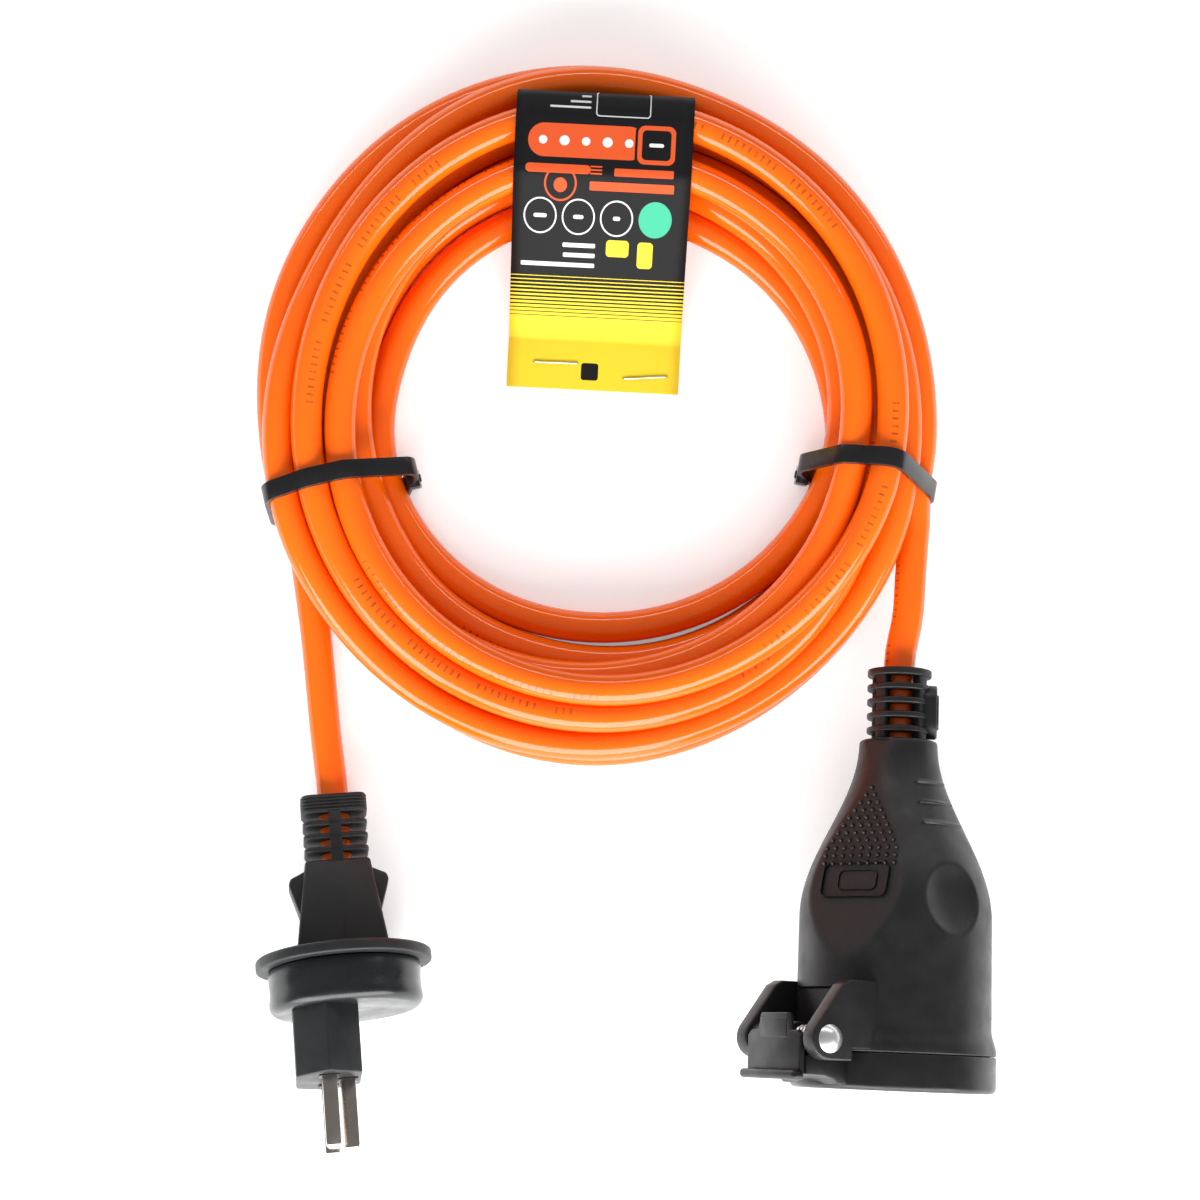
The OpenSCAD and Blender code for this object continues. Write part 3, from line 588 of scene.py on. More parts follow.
@dataclass(frozen=True)
class Place:
    """Where a moulding lies: its cord end, tilt, turn on the table and roll, in millimetres and degrees."""

    x: float
    y: float
    z: float
    tilt: float = 90.0
    yaw: float = 0.0
    roll: float = 0.0

    def matrix(self) -> Matrix:
        """The moulding's frame, with Z along its axis away from the cord."""
        return (Matrix.Translation((self.x, self.y, self.z)) @ turned(self.yaw, "Z")
                @ turned(90 - self.tilt, "X") @ turned(self.roll, "Z"))

    def at(self, station: float) -> Vector:
        """The point of the axis at a station."""
        return self.matrix() @ Vector((0.0, 0.0, station))


def finish_piece(name: str, part: BMesh, place: Matrix, material: bpy.types.Material,
                 replaces: Sequence[str] = (), body: Body = Body.ROOT, angle: float = 35.0) -> bpy.types.Object:
    """Makes an object of a mesh in millimetres and hands it to the frame.

    Args:
        name: Name of the piece.
        part: Its mesh, in a moulding's frame.
        place: That frame.
        material: The piece's material.
        replaces: CAD nodes that it stands for.
        body: The body that it rides on.
        angle: Edges sharper than this many degrees stay sharp.

    Returns:
        The object, at the origin, in metres.
    """
    bmesh.ops.transform(part, matrix=Matrix.Scale(MM, 4) @ place, verts=part.verts)
    mesh = bpy.data.meshes.new(name)
    part.to_mesh(mesh)
    part.free()
    mesh.polygons.foreach_set("use_smooth", [True] * len(mesh.polygons))
    mesh.set_sharp_from_angle(angle=math.radians(angle))
    mesh.materials.append(material)
    piece = bpy.data.objects.new(name, mesh)
    bpy.context.scene.collection.objects.link(piece)
    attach(piece, body.value)
    if replaces:
        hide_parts(*replaces)
    LOG.info("%s: %d faces", name, len(mesh.polygons))
    return piece


# ---- studio ----


@dataclass
class Studio:
    """Camera, soft lamps, floor and world."""

    camera_at: Sequence[float] = (-0.0047, 0.0013, 0.700)
    lens: float = 75.0
    world_strength: float = 0.42
    glossy_world: float = 0.24
    glossy_floor: float = 0.30
    floor_half: float = 0.62
    lamps: Sequence[tuple[str, Sequence[float], Point2, float]] = (
        ("softbox_front", (0.0, -0.66, 0.36), (2.0, 0.56), 27.0),
        ("strip_back", (0.0, 0.74, 0.40), (2.2, 0.07), 4.2))

    def build(self) -> None:
        """Makes the camera, the lamps, the world and the floor."""
        self.make_camera()
        for name, at, size, power in self.lamps:
            self.make_lamp(name, Vector(at), size, power)
        self.make_world()
        self.make_floor()
        bpy.context.scene.view_settings.view_transform = "Standard"

    def make_camera(self) -> None:
        """The camera, straight above the table."""
        data = bpy.data.cameras.new("camera")
        data.lens = self.lens
        data.sensor_width = 36.0
        data.clip_start = 0.01
        camera = bpy.data.objects.new("camera", data)
        camera.location = self.camera_at
        bpy.context.scene.collection.objects.link(camera)
        bpy.context.scene.camera = camera

    def make_lamp(self, name: str, at: Vector, size: Point2, power: float) -> None:
        """One softbox that looks at the table's middle.

        Args:
            name: Name of the lamp.
            at: Its place.
            size: Its width and height.
            power: Its power in watts.
        """
        data = bpy.data.lights.new(name, "AREA")
        data.shape = "RECTANGLE"
        data.size, data.size_y = size
        data.energy = power
        lamp = bpy.data.objects.new(name, data)
        lamp.location = at
        lamp.rotation_mode = "QUATERNION"
        lamp.rotation_quaternion = (-at).to_track_quat("-Z", "Y")
        bpy.context.scene.collection.objects.link(lamp)

    def make_world(self) -> None:
        """A pale world that is white to the camera and to reflections."""
        world = bpy.data.worlds.new("studio")
        bpy.context.scene.world = world
        world.use_nodes = True
        nodes, links = world.node_tree.nodes, world.node_tree.links
        background = nodes["Background"]
        background.inputs["Color"].default_value = (1.0, 1.0, 1.0, 1.0)
        path = nodes.new("ShaderNodeLightPath")
        glossy = nodes.new("ShaderNodeMapRange")
        glossy.inputs["To Min"].default_value = self.world_strength
        glossy.inputs["To Max"].default_value = self.glossy_world
        level = nodes.new("ShaderNodeMapRange")
        level.inputs["To Max"].default_value = 1.0
        links.new(path.outputs["Is Glossy Ray"], glossy.inputs["Value"])
        links.new(glossy.outputs[0], level.inputs["To Min"])
        links.new(path.outputs["Is Camera Ray"], level.inputs["Value"])
        links.new(level.outputs[0], background.inputs["Strength"])

    def make_floor(self) -> None:
        """A white floor that keeps the soft shadow."""
        part = bmesh.new()
        bmesh.ops.create_grid(part, x_segments=1, y_segments=1, size=self.floor_half)
        mesh = bpy.data.meshes.new("floor")
        part.to_mesh(mesh)
        part.free()
        floor = bpy.data.objects.new("floor", mesh)
        tree = Tree("floor_white", (0.86, 0.86, 0.86), 0.9)
        path = tree.node("ShaderNodeLightPath")
        seen = tree.math("MAXIMUM", path.outputs["Is Camera Ray"], path.outputs["Is Glossy Ray"])
        seen = tree.math("MAXIMUM", seen, path.outputs["Is Transmission Ray"])
        tree.shader.inputs["Emission Color"].default_value = (1.0, 1.0, 1.0, 1.0)
        tree.put(tree.math("MULTIPLY", seen, self.glossy_floor), tree.shader.inputs["Emission Strength"])
        tree.shader.inputs["Specular IOR Level"].default_value = 0.0
        mesh.materials.append(tree.material)
        bpy.context.scene.collection.objects.link(floor)


# ---- cord ----


@dataclass(frozen=True)
class Station:
    """One place of the coil: its direction, and each turn's radius and height there."""

    direction: float
    turns: Sequence[Point2]
    on_top: Sequence[int]


# The turns in order from the plug's end; on_top numbers those that show from above
COIL_STATIONS = [
    Station(196.5, [(89.5, 4.3), (81.9, 4.3), (82.2, 13.2), (74.4, 4.3), (66.9, 4.3), (67.0, 12.7), (79.8, 22.0),
                    (71.4, 20.9), (74.6, 12.4), (87.0, 18.8)], (0, 5, 6, 7, 9)),
    Station(150.0, [(89.3, 11.3), (76.3, 4.3), (84.9, 4.3), (67.7, 4.3), (59.4, 4.6), (66.3, 12.4), (77.1, 24.0),
                    (67.0, 22.5), (73.2, 16.8), (81.7, 14.5)], (0, 4, 6, 7, 9)),
    Station(110.0, [(93.2, 5.0), (74.6, 5.0), (83.2, 5.0), (66.0, 5.0), (57.3, 5.0), (69.0, 12.6), (79.6, 22.0),
                    (66.5, 20.5), (77.6, 12.8), (90.0, 14.0)], (0, 4, 6, 7, 9)),
    Station(90.0, [(92.9, 4.4), (74.2, 5.5), (82.8, 5.5), (65.6, 5.5), (57.0, 5.5), (69.4, 13.0), (80.6, 20.3),
                   (68.0, 20.3), (79.2, 12.7), (92.3, 12.9)], (0, 4, 6, 7, 9)),
    Station(70.0, [(89.6, 4.3), (75.8, 4.6), (82.6, 4.6), (67.2, 4.6), (58.6, 5.0), (69.4, 12.4), (81.3, 21.5),
                   (68.5, 20.5), (78.4, 12.8), (87.1, 12.4)], (0, 4, 6, 7, 9)),
    Station(30.0, [(80.5, 4.3), (71.9, 4.3), (76.2, 12.0), (67.8, 12.2), (63.3, 4.8), (72.4, 18.6), (80.9, 26.6),
                   (70.8, 25.6), (81.0, 18.8), (83.9, 11.4)], (3, 4, 6, 7)),
    Station(-14.0, [(86.2, 4.3), (77.6, 4.3), (77.2, 12.0), (68.3, 12.4), (69.0, 4.3), (74.4, 19.2), (79.4, 27.0),
                    (70.7, 25.2), (82.6, 19.0), (90.4, 11.8)], (3, 6, 7, 9)),
    Station(-50.0, [(90.0, 4.3), (80.7, 4.3), (76.4, 12.0), (62.6, 5.0), (72.0, 4.3), (83.2, 19.0), (77.9, 24.5),
                    (71.5, 19.0), (88.7, 12.4)], (0, 3, 5, 6, 7, 8)),
    Station(-90.0, [(93.2, 4.3), (85.6, 7.0), (78.0, 4.3), (59.0, 4.4), (69.8, 4.6), (84.1, 18.6), (76.2, 22.6),
                    (75.4, 13.6), (92.2, 12.4)], (3, 4, 5, 6, 8)),
    Station(-130.0, [(91.2, 4.3), (83.4, 5.2), (75.6, 4.3), (61.2, 4.5), (68.8, 8.6), (82.4, 19.5), (74.0, 22.5),
                     (74.6, 13.4), (91.2, 13.0)], (3, 4, 5, 6, 8)),
]


@dataclass
class CordRubber:
    """The cord's glossy orange rubber, with a row of plain dashes along it.

    A row is marked millimetres long in each period. The dashes stand a pitch apart and fill a share of it, and
    of each group's places the first few are printed. A dash's half width is a share of the way around the cord.
    """

    color: Color = (0.94, 0.145, 0.004)
    shade: Color = (0.88, 0.115, 0.003)
    ink: Color = (0.16, 0.035, 0.012)
    period: float = 124.0
    marked: float = 78.0
    pitch: float = 2.05
    dash_share: float = 0.3
    printed: int = 9
    places: int = 11
    half_width: float = 0.034

    def make(self) -> bpy.types.Material:
        """Makes the material.

        Returns:
            The new material.
        """
        tree = Tree("cord_rubber", self.color, 0.13)
        place = tree.node("ShaderNodeTexCoord")
        split = tree.node("ShaderNodeSeparateXYZ")
        tree.put(place.outputs["UV"], split.inputs[0])
        along, around = split.outputs[0], split.outputs[1]
        slow = tree.noise(1.0, 2.0, (0.03, 2.0))
        base = tree.mix(slow, self.color, self.shade)
        tree.put(tree.mix(self.print_mask(tree, along, around), base, self.ink), tree.shader.inputs["Base Color"])
        tree.put(tree.remap(slow, 0.3, 0.7, 0.10, 0.17), tree.shader.inputs["Roughness"])
        tree.bump(tree.noise(1.0, 2.0, (0.12, 5.0)), 0.18, 0.12 * MM)
        tree.bump(tree.noise(3500.0, 2.0), 0.05, 0.03 * MM)
        return tree.material

    def print_mask(self, tree: Tree, along: Socket, around: Socket) -> Socket:
        """The dashes' mask.

        Args:
            tree: The material's tree.
            along: Length along the cord, in millimetres.
            around: Share around the cord.

        Returns:
            The mask, 1 on the ink.
        """
        in_row = tree.math("LESS_THAN", tree.math("MODULO", along, self.period), self.marked)
        step = tree.math("MODULO", along, self.pitch)
        place = tree.math("MODULO", along, self.places * self.pitch)
        group = tree.math("LESS_THAN", place, self.printed * self.pitch)
        dash = tree.math("LESS_THAN", step, self.dash_share * self.pitch)
        offset = tree.math("ABSOLUTE", tree.math("SUBTRACT", tree.math("FRACT", around), 0.5))
        line = tree.math("LESS_THAN", offset, self.half_width)
        mask = tree.math("MULTIPLY", tree.math("MULTIPLY", in_row, dash), tree.math("MULTIPLY", line, group))
        worn = tree.remap(tree.noise(900.0, 3.0), 0.3, 0.6, 0.3, 0.7)
        return tree.math("MULTIPLY", mask, worn)


@dataclass
class Cord:
    """One length of three-core cord: the coil's turns and both free ends.

    The settling takes some rounds. In each, hold draws a turn to its place and give lets its neighbours push it:
    the first number is for every turn, and the second changes it for what shows from above. Smoothing is stronger
    before the late rounds than in them. A turn that changes places swings out by the hump's share of its move.
    """

    diameter: float = 8.6
    centre: Point2 = (-5.8, 53.3)
    stations: Sequence[Station] = tuple(COIL_STATIONS)
    samples: int = 48
    spacing: float = 4.0
    sides: int = 20
    hump: float = 0.25
    rounds: int = 400
    late: float = 0.8
    hold: Point2 = (0.02, 0.23)
    give: Point2 = (0.7, 0.4)
    smoothing: Point2 = (0.2, 0.06)
    clearance: float = 1.005
    plug_end: list[Sequence[float]] = field(default_factory=lambda: [
        (-87.4, 19.8, 5.2), (-86.4, 11.8, 4.8), (-85.0, 1.8, 4.6), (-83.6, -9.2, 4.5), (-82.3, -22.2, 4.6),
        (-80.9, -36.2, 5.3)])
    coupler_end: list[Sequence[float]] = field(default_factory=lambda: [
        (82.2, 23.8, 10.2), (81.5, 15.8, 10.6), (80.8, 6.8, 11.2), (80.0, -3.2, 12.0)])
    path: list[Vector] = field(default_factory=list)

    def raw_turns(self) -> np.ndarray:
        """The turns as they pass smoothly through the stations.

        Returns:
            Radius, height and how much it is on top, for each sample.
        """
        knots = np.array([
            (*station.turns[turn], float(turn in station.on_top)) for turn in range(len(self.stations[0].turns))
            for station in self.stations if turn < len(station.turns)])
        legs = len(self.stations)
        first = self.stations[0].direction
        offsets = [(first - station.direction) % 360.0 for station in self.stations]
        angles = np.array([360.0 * (i // legs) + offsets[i % legs] for i in range(len(knots))])
        slopes = np.gradient(knots, angles, axis=0)
        slopes[0] = 0.0
        at = np.arange(round(angles[-1] * self.samples / 360.0) + 1) * 360.0 / self.samples
        leg = np.clip(np.searchsorted(angles, at, side="right") - 1, 0, len(knots) - 2)
        span = (angles[leg + 1] - angles[leg])[:, None]
        t = np.clip((at[:, None] - angles[leg][:, None]) / span, 0, 1)
        start, end = knots[leg], knots[leg + 1]
        curve = (start * (2 * t**3 - 3 * t**2 + 1) + slopes[leg] * span * (t**3 - 2 * t**2 + t)
                 + end * (3 * t**2 - 2 * t**3) + slopes[leg + 1] * span * (t**3 - t**2))
        # Strands that change places pass over and under each other
        move = end - start
        aside = np.stack([-move[:, 1], move[:, 0], 0 * move[:, 0]], axis=1)
        return curve + self.hump * np.sin(math.pi * t) * aside

    def settle(self, turns: np.ndarray) -> np.ndarray:
        """Pushes the turns apart until they lie beside each other and on the table.

        Args:
            turns: Radius, height and how much it is on top, for each sample.

        Returns:
            Radius and height of the settled turns.
        """
        rows = math.ceil(len(turns) / self.samples)
        grid = np.full((rows * self.samples, 2), np.nan)
        target = turns[:, :2].copy()
        now = target.copy()
        seen = np.clip(turns[:, 2:], 0.0, 1.0)
        gap = self.diameter * self.clearance
        for step in range(self.rounds):
            fade = 1 - step / self.rounds
            now += (self.hold[0] + self.hold[1] * seen) * fade * (target - now)
            grid[: len(now)] = now
            stack = grid.reshape(rows, self.samples, 2)
            apart = stack[:, None] - stack[None, :]
            far = np.sqrt((apart**2).sum(-1))
            close = np.where((far < gap) & (far > 1e-6), (gap - far) / np.maximum(far, 1e-6), 0.0)
            push = np.nansum(close[..., None] * np.nan_to_num(apart), axis=1) * 0.5
            now += (self.give[0] - self.give[1] * seen) * push.reshape(-1, 2)[: len(now)]
            smooth = self.smoothing[step >= self.late * self.rounds]
            now[1:-1] += smooth * (now[2:] + now[:-2] - 2 * now[1:-1])
            now[:, 1] = np.maximum(now[:, 1], self.diameter / 2)
            now[0] = target[0]
            now[-1] = target[-1]
        return now

    def trace(self, plug: Place, coupler: Place) -> None:
        """Works out the cord's centre line from the plug to the coupler.

        Args:
            plug: Where the plug lies.
            coupler: Where the coupler lies.
        """
        turns = self.settle(self.raw_turns())
        first = self.stations[0].direction
        angles = np.radians(first - np.arange(len(turns)) * 360.0 / self.samples)
        coil = np.stack([
            self.centre[0] + turns[:, 0] * np.cos(angles), self.centre[1] + turns[:, 0] * np.sin(angles),
            turns[:, 1]], axis=1)
        start = [plug.at(s) for s in (22.4, 12.0, 4.0, -4.0)] + [Vector(p) for p in reversed(self.plug_end)]
        end = [Vector(p) for p in self.coupler_end] + [coupler.at(s) for s in (-4.0, 4.0, 14.0, 23.0)]
        rough = start + [Vector(p) for p in coil] + end
        self.path = self.even(rough)

    def even(self, rough: list[Vector]) -> list[Vector]:
        """A smooth curve through points, sampled at an even spacing.

        Args:
            rough: The points.

        Returns:
            The samples.
        """
        dense: list[Vector] = []
        last = len(rough) - 1
        for i in range(last):
            a, b, c, d = (rough[max(i - 1, 0)], rough[i], rough[i + 1], rough[min(i + 2, last)])
            for k in range(6):
                t = k / 6
                dense.append(0.5 * (2 * b + (c - a) * t + (2 * a - 5 * b + 4 * c - d) * t * t
                                    + (3 * b - a - 3 * c + d) * t**3))
        dense.append(rough[-1])
        points = np.array([tuple(p) for p in dense])
        run = np.concatenate([[0.0], np.cumsum(np.linalg.norm(np.diff(points, axis=0), axis=1))])
        count = round(run[-1] / self.spacing)
        at = np.linspace(0.0, run[-1], count + 1)
        return [Vector(p) for p in np.stack([np.interp(at, run, points[:, i]) for i in range(3)], axis=1)]

    def length(self) -> float:
        """The cord's length in metres."""
        return sum((b - a).length for a, b in zip(self.path, self.path[1:])) * MM

    def crossings(self, place: Matrix, near: float) -> list[Point2]:
        """Where the cord passes through the plane Y = 0 of a frame.

        Args:
            place: The frame.
            near: Keeps what lies within this distance of its origin.

        Returns:
            X and Z of each passage.
        """
        local = [place.inverted() @ p for p in self.path]
        found = []
        for a, b in zip(local, local[1:]):
            if a.y * b.y <= 0 and a.y != b.y and abs(a.x) < near:
                p = a.lerp(b, a.y / (a.y - b.y))
                found.append((p.x, p.z))
        return found

    def build(self, exit_at: Vector, ends: Sequence[bpy.types.Object]) -> bpy.types.Object:
        """Args:
            exit_at: Where it leaves the coupler, in millimetres; not used.
            ends: The plug's pieces at its far end; not used.

        Returns:
            The cord.
        """
        part = tube(self.path, self.diameter / 2, self.sides, lambda run: 0.2 + 0.42 * math.sin(run / 610.0))
        piece = finish_piece(
            "cord", part, Matrix.Identity(4), CordRubber().make(),
            ("cord_coil", "cord_tail_plug", "cord_tail_coupler"), angle=60.0)
        LOG.info("cord: %.3f m", self.length())
        return piece


# ---- cable ties ----


@dataclass
class CableTie:
    """A nylon strap around the bundle, with its locking head and cut tail.

    The strap is skewed on the table and leans about a line at the pivot's height. Its slack is the loose bend on
    the coil's inner side: the bend's middle past the strands, its height and its radius.
    """

    side: str
    angle: float
    radius: float
    skew: float
    lean: float
    pivot: float = 14.0
    width: float = 4.8
    thickness: float = 1.3
    slack: Sequence[float] = (-0.9, 15.5, 3.0)
    head_z: float = 3.4
    head: Sequence[float] = (3.6, 5.4, 7.2)

    def matrix(self, centre: Point2) -> Matrix:
        """The tie's frame on the table.

        Args:
            centre: The coil's middle.

        Returns:
            The frame, with X outwards across the bundle and Y along the cord.
        """
        a = math.radians(self.angle)
        at = (centre[0] + self.radius * math.cos(a), centre[1] + self.radius * math.sin(a), 0.0)
        return Matrix.Translation(at) @ turned(self.angle + self.skew, "Z")

    def strap(self, strands: list[Point2], radius: float) -> BMesh:
        """The strap around some strands.

        Args:
            strands: The strands in the tie's plane.
            radius: Radius of a strand.

        Returns:
            The strap's mesh.
        """
        rims = [p for strand in strands for p in arc(strand, radius + 0.12, 0, 345, 23)]
        rims += arc((min(x for x, _ in rims) + self.slack[0], self.slack[1]), self.slack[2], 100, 260, 12)
        inner = hull_2d(rims)
        part = bmesh.new()
        half = self.width / 2
        ring = [part.verts.new((x, -half, max(z, 0.1))) for x, z in inner]
        edges = [part.edges.new((a, b)) for a, b in zip(ring, ring[1:] + ring[:1])]
        grown = bmesh.ops.extrude_edge_only(part, edges=edges)["geom"]
        fresh = new_verts(grown)
        bmesh.ops.translate(part, vec=(0.0, self.width, 0.0), verts=fresh)
        bmesh.ops.recalc_face_normals(part, faces=part.faces)
        bmesh.ops.solidify(part, geom=part.faces[:], thickness=-self.thickness)
        bmesh.ops.recalc_face_normals(part, faces=part.faces)
        for vert in part.verts:
            vert.co.z = max(vert.co.z, 0.05)
            vert.co.y += self.lean * (vert.co.z - self.pivot)
        return soften(part, 0.32, 2, 60.0)

    def locking_head(self, face: float) -> list[BMesh]:
        """The head, the strap's cut tail and the pawl's window.

        Args:
            face: X of the strap's inner face, which the head sits on.

        Returns:
            The meshes.
        """
        deep, wide, tall = self.head
        middle = face - deep / 2
        z = self.head_z + tall / 2
        box = block((deep, wide, tall), (middle, 0.0, z), 0.6, 3)
        rim = block((deep - 1.6, wide - 1.8, tall + 0.7), (middle, 0.0, z), 0.3, 2)
        tail = block((self.thickness, self.width, 3.4), (middle + 0.2, 0.0, z - tall / 2 - 1.6), 0.25, 2)
        pawl = block((0.7, 2.2, 2.6), (face - deep - 0.1, 0.0, z + 0.5), 0.25, 2)
        tooth_x, tooth_z = middle - self.thickness / 2 + 0.15, z - tall / 2 - 3.2
        teeth = [block((0.3, self.width - 1.6, 0.35), (tooth_x, 0.0, tooth_z + 0.8 * i), 0.08, 1) for i in range(4)]
        aside = Matrix.Translation((0.0, self.lean * (z - self.pivot), 0.0))
        return [placed(piece, aside) for piece in (box, rim, tail, pawl, *teeth)]

    def build(self, cord: Cord, material: bpy.types.Material) -> bpy.types.Object:
        """Builds the tie around the cord's strands.

        Args:
            cord: The traced cord.
            material: The nylon.

        Returns:
            The tie.
        """
        place = self.matrix(cord.centre)
        strands = cord.crossings(place, 28.0)
        inner = min(x for x, _ in strands) - cord.diameter / 2 - self.thickness
        part = joined([self.strap(strands, cord.diameter / 2), *self.locking_head(inner)])
        LOG.info("%s tie: %d strands", self.side, len(strands))
        return finish_piece(
            f"{self.side}_tie", part, place, material, (f"cable_tie_{self.side}",), angle=40.0)


# ---- label ----


class Ink(Enum):
    """The label's colours, linear."""

    BLACK = (0.008, 0.008, 0.009)
    YELLOW = (0.76, 0.61, 0.035)
    ORANGE = (0.62, 0.085, 0.022)
    TEAL = (0.05, 0.42, 0.25)
    WHITE = (0.66, 0.66, 0.66)
    DARK = (0.012, 0.012, 0.012)


@dataclass
class LabelPrint:
    """The printed face of the card, drawn on its UV map in millimetres: across, and away from the staples."""

    split: float = 19.2
    stripes: int = 12
    stripe_pitch: float = 1.0
    tree: Tree = field(init=False)
    u: Socket = field(init=False)
    v: Socket = field(init=False)

    def make(self) -> bpy.types.Material:
        """Makes the material.

        Returns:
            The new material.
        """
        tree = Tree("label_print", Ink.BLACK.value, 0.5)
        tree.shader.inputs["Specular IOR Level"].default_value = 0.12
        place = tree.node("ShaderNodeTexCoord")
        parts = tree.node("ShaderNodeSeparateXYZ")
        tree.put(place.outputs["UV"], parts.inputs[0])
        self.tree, self.u, self.v = tree, parts.outputs[0], parts.outputs[1]
        color = tree.mix(self.ground(), Ink.BLACK.value, Ink.YELLOW.value)
        for ink, mask in self.shapes():
            color = tree.mix(mask, color, ink.value)
        tree.put(color, tree.shader.inputs["Base Color"])
        tree.bump(tree.noise(60.0, 2.0), 0.25, 0.5 * MM)
        tree.bump(tree.noise(1800.0, 2.0), 0.06, 0.05 * MM)
        return tree.material

    def below(self, value: object, limit: object) -> Socket:
        """1 where a value is below a limit."""
        return self.tree.math("LESS_THAN", value, limit)

    def ground(self) -> Socket:
        """Yellow below the split, with black stripes that get thinner away from it.

        Returns:
            The yellow's mask.
        """
        tree, tall = self.tree, self.stripes * self.stripe_pitch
        yellow = self.below(self.v, self.split + tall)
        down = tree.math("SUBTRACT", self.split + tall, self.v)
        step = tree.math("MODULO", down, self.stripe_pitch)
        share = tree.remap(down, 0.0, tall, 0.85, 0.12)
        stripe = self.below(step, tree.math("MULTIPLY", share, self.stripe_pitch))
        striped = tree.math("MULTIPLY", stripe, self.below(down, tall - 0.1))
        return tree.math("SUBTRACT", yellow, striped, clamp=True)

    def bar(self, x: float, y: float, width: float, height: float, radius: float) -> Socket:
        """A filled bar with round corners.

        Args:
            x: Middle across the card.
            y: Middle along the card.
            width: Width.
            height: Height.
            radius: Radius of the corners.

        Returns:
            The mask.
        """
        tree = self.tree
        dx = tree.math("SUBTRACT", tree.math("ABSOLUTE", tree.math("SUBTRACT", self.u, x)), width / 2 - radius)
        dy = tree.math("SUBTRACT", tree.math("ABSOLUTE", tree.math("SUBTRACT", self.v, y)), height / 2 - radius)
        dx, dy = tree.math("MAXIMUM", dx, 0.0), tree.math("MAXIMUM", dy, 0.0)
        square = tree.math("ADD", tree.math("MULTIPLY", dx, dx), tree.math("MULTIPLY", dy, dy))
        return self.below(square, max(radius, 0.02) ** 2)

    def disc(self, x: float, y: float, radius: float) -> Socket:
        """A filled disc."""
        return self.bar(x, y, 2 * radius, 2 * radius, radius)

    def ring(self, x: float, y: float, radius: float, line: float) -> Socket:
        """A circle of a line's width."""
        return self.tree.math("SUBTRACT", self.disc(x, y, radius), self.disc(x, y, radius - line), clamp=True)

    def frame(self, x: float, y: float, width: float, height: float, line: float) -> Socket:
        """A rounded frame.

        Args:
            x: Middle across the card.
            y: Middle along the card.
            width: Outer width.
            height: Outer height.
            line: Width of its line.

        Returns:
            The mask.
        """
        outer = self.bar(x, y, width, height, 1.0)
        inner = self.bar(x, y, width - 2 * line, height - 2 * line, 0.8)
        return self.tree.math("SUBTRACT", outer, inner, clamp=True)

    def shapes(self) -> list[tuple[Ink, Socket]]:
        """The card's plain generic shapes.

        Returns:
            Each shape's ink and mask, in the order in which they are drawn.
        """
        found = [
            (Ink.ORANGE, self.bar(-4.6, 64.7, 31.6, 9.0, 4.4)),
            (Ink.BLACK, self.bar(14.2, 64.5, 11.6, 11.8, 2.4)),
            (Ink.ORANGE, self.bar(14.2, 64.5, 10.2, 10.4, 2.0)),
            (Ink.BLACK, self.bar(14.2, 64.5, 7.8, 8.0, 1.2)),
            (Ink.WHITE, self.bar(14.2, 64.5, 4.0, 1.0, 0.5)),
            (Ink.ORANGE, self.ring(-11.2, 53.6, 4.4, 0.5)),
            (Ink.ORANGE, self.bar(-12.0, 57.2, 17.6, 2.3, 1.1)),
            (Ink.ORANGE, self.bar(11.2, 56.9, 16.0, 2.0, 0.3)),
            (Ink.ORANGE, self.bar(8.1, 53.3, 22.8, 2.2, 0.3)),
            (Ink.ORANGE, self.disc(-11.2, 53.2, 1.8)),
            (Ink.YELLOW, self.bar(12.6, 36.6, 4.2, 6.6, 1.0)),
            (Ink.YELLOW, self.bar(5.0, 38.0, 6.2, 4.2, 1.0)),
            (Ink.WHITE, self.frame(4.9, 75.2, 14.8, 7.4, 0.3)),
            (Ink.DARK, self.bar(-1.0, 5.2, 4.8, 4.8, 0.8)),
            (Ink.TEAL, self.disc(14.9, 45.6, 4.5)),
        ]
        found += [(Ink.WHITE, self.disc(-16.4 + 5.8 * i, 64.7, 1.15 + 0.2 * (i % 2))) for i in range(5)]
        found += [(Ink.WHITE, self.ring(-16.4 + 10.4 * i, 45.5, 4.5, 0.4)) for i in range(3)]
        found += [(Ink.WHITE, self.bar(-16.4 + 10.4 * i, 45.5, 3.6 - 0.8 * i, 1.0, 0.5)) for i in range(3)]
        found += [(Ink.ORANGE, self.bar(-1.7, 57.2 + 0.9 * i, 3.2, 0.4, 0.1)) for i in (-1, 0, 1)]
        found += [(Ink.WHITE, self.bar(-1.1 - width / 2, 38.4 - 2.5 * i, width, 1.1, 0.3))
                  for i, width in enumerate((8.9, 8.7, 20.2))]
        found += [(Ink.WHITE, self.bar(-3.9 - width / 2, 73.8 + 1.6 * i, width, 0.6, 0.2))
                  for i, width in enumerate((11.0, 5.6, 2.6))]
        return found


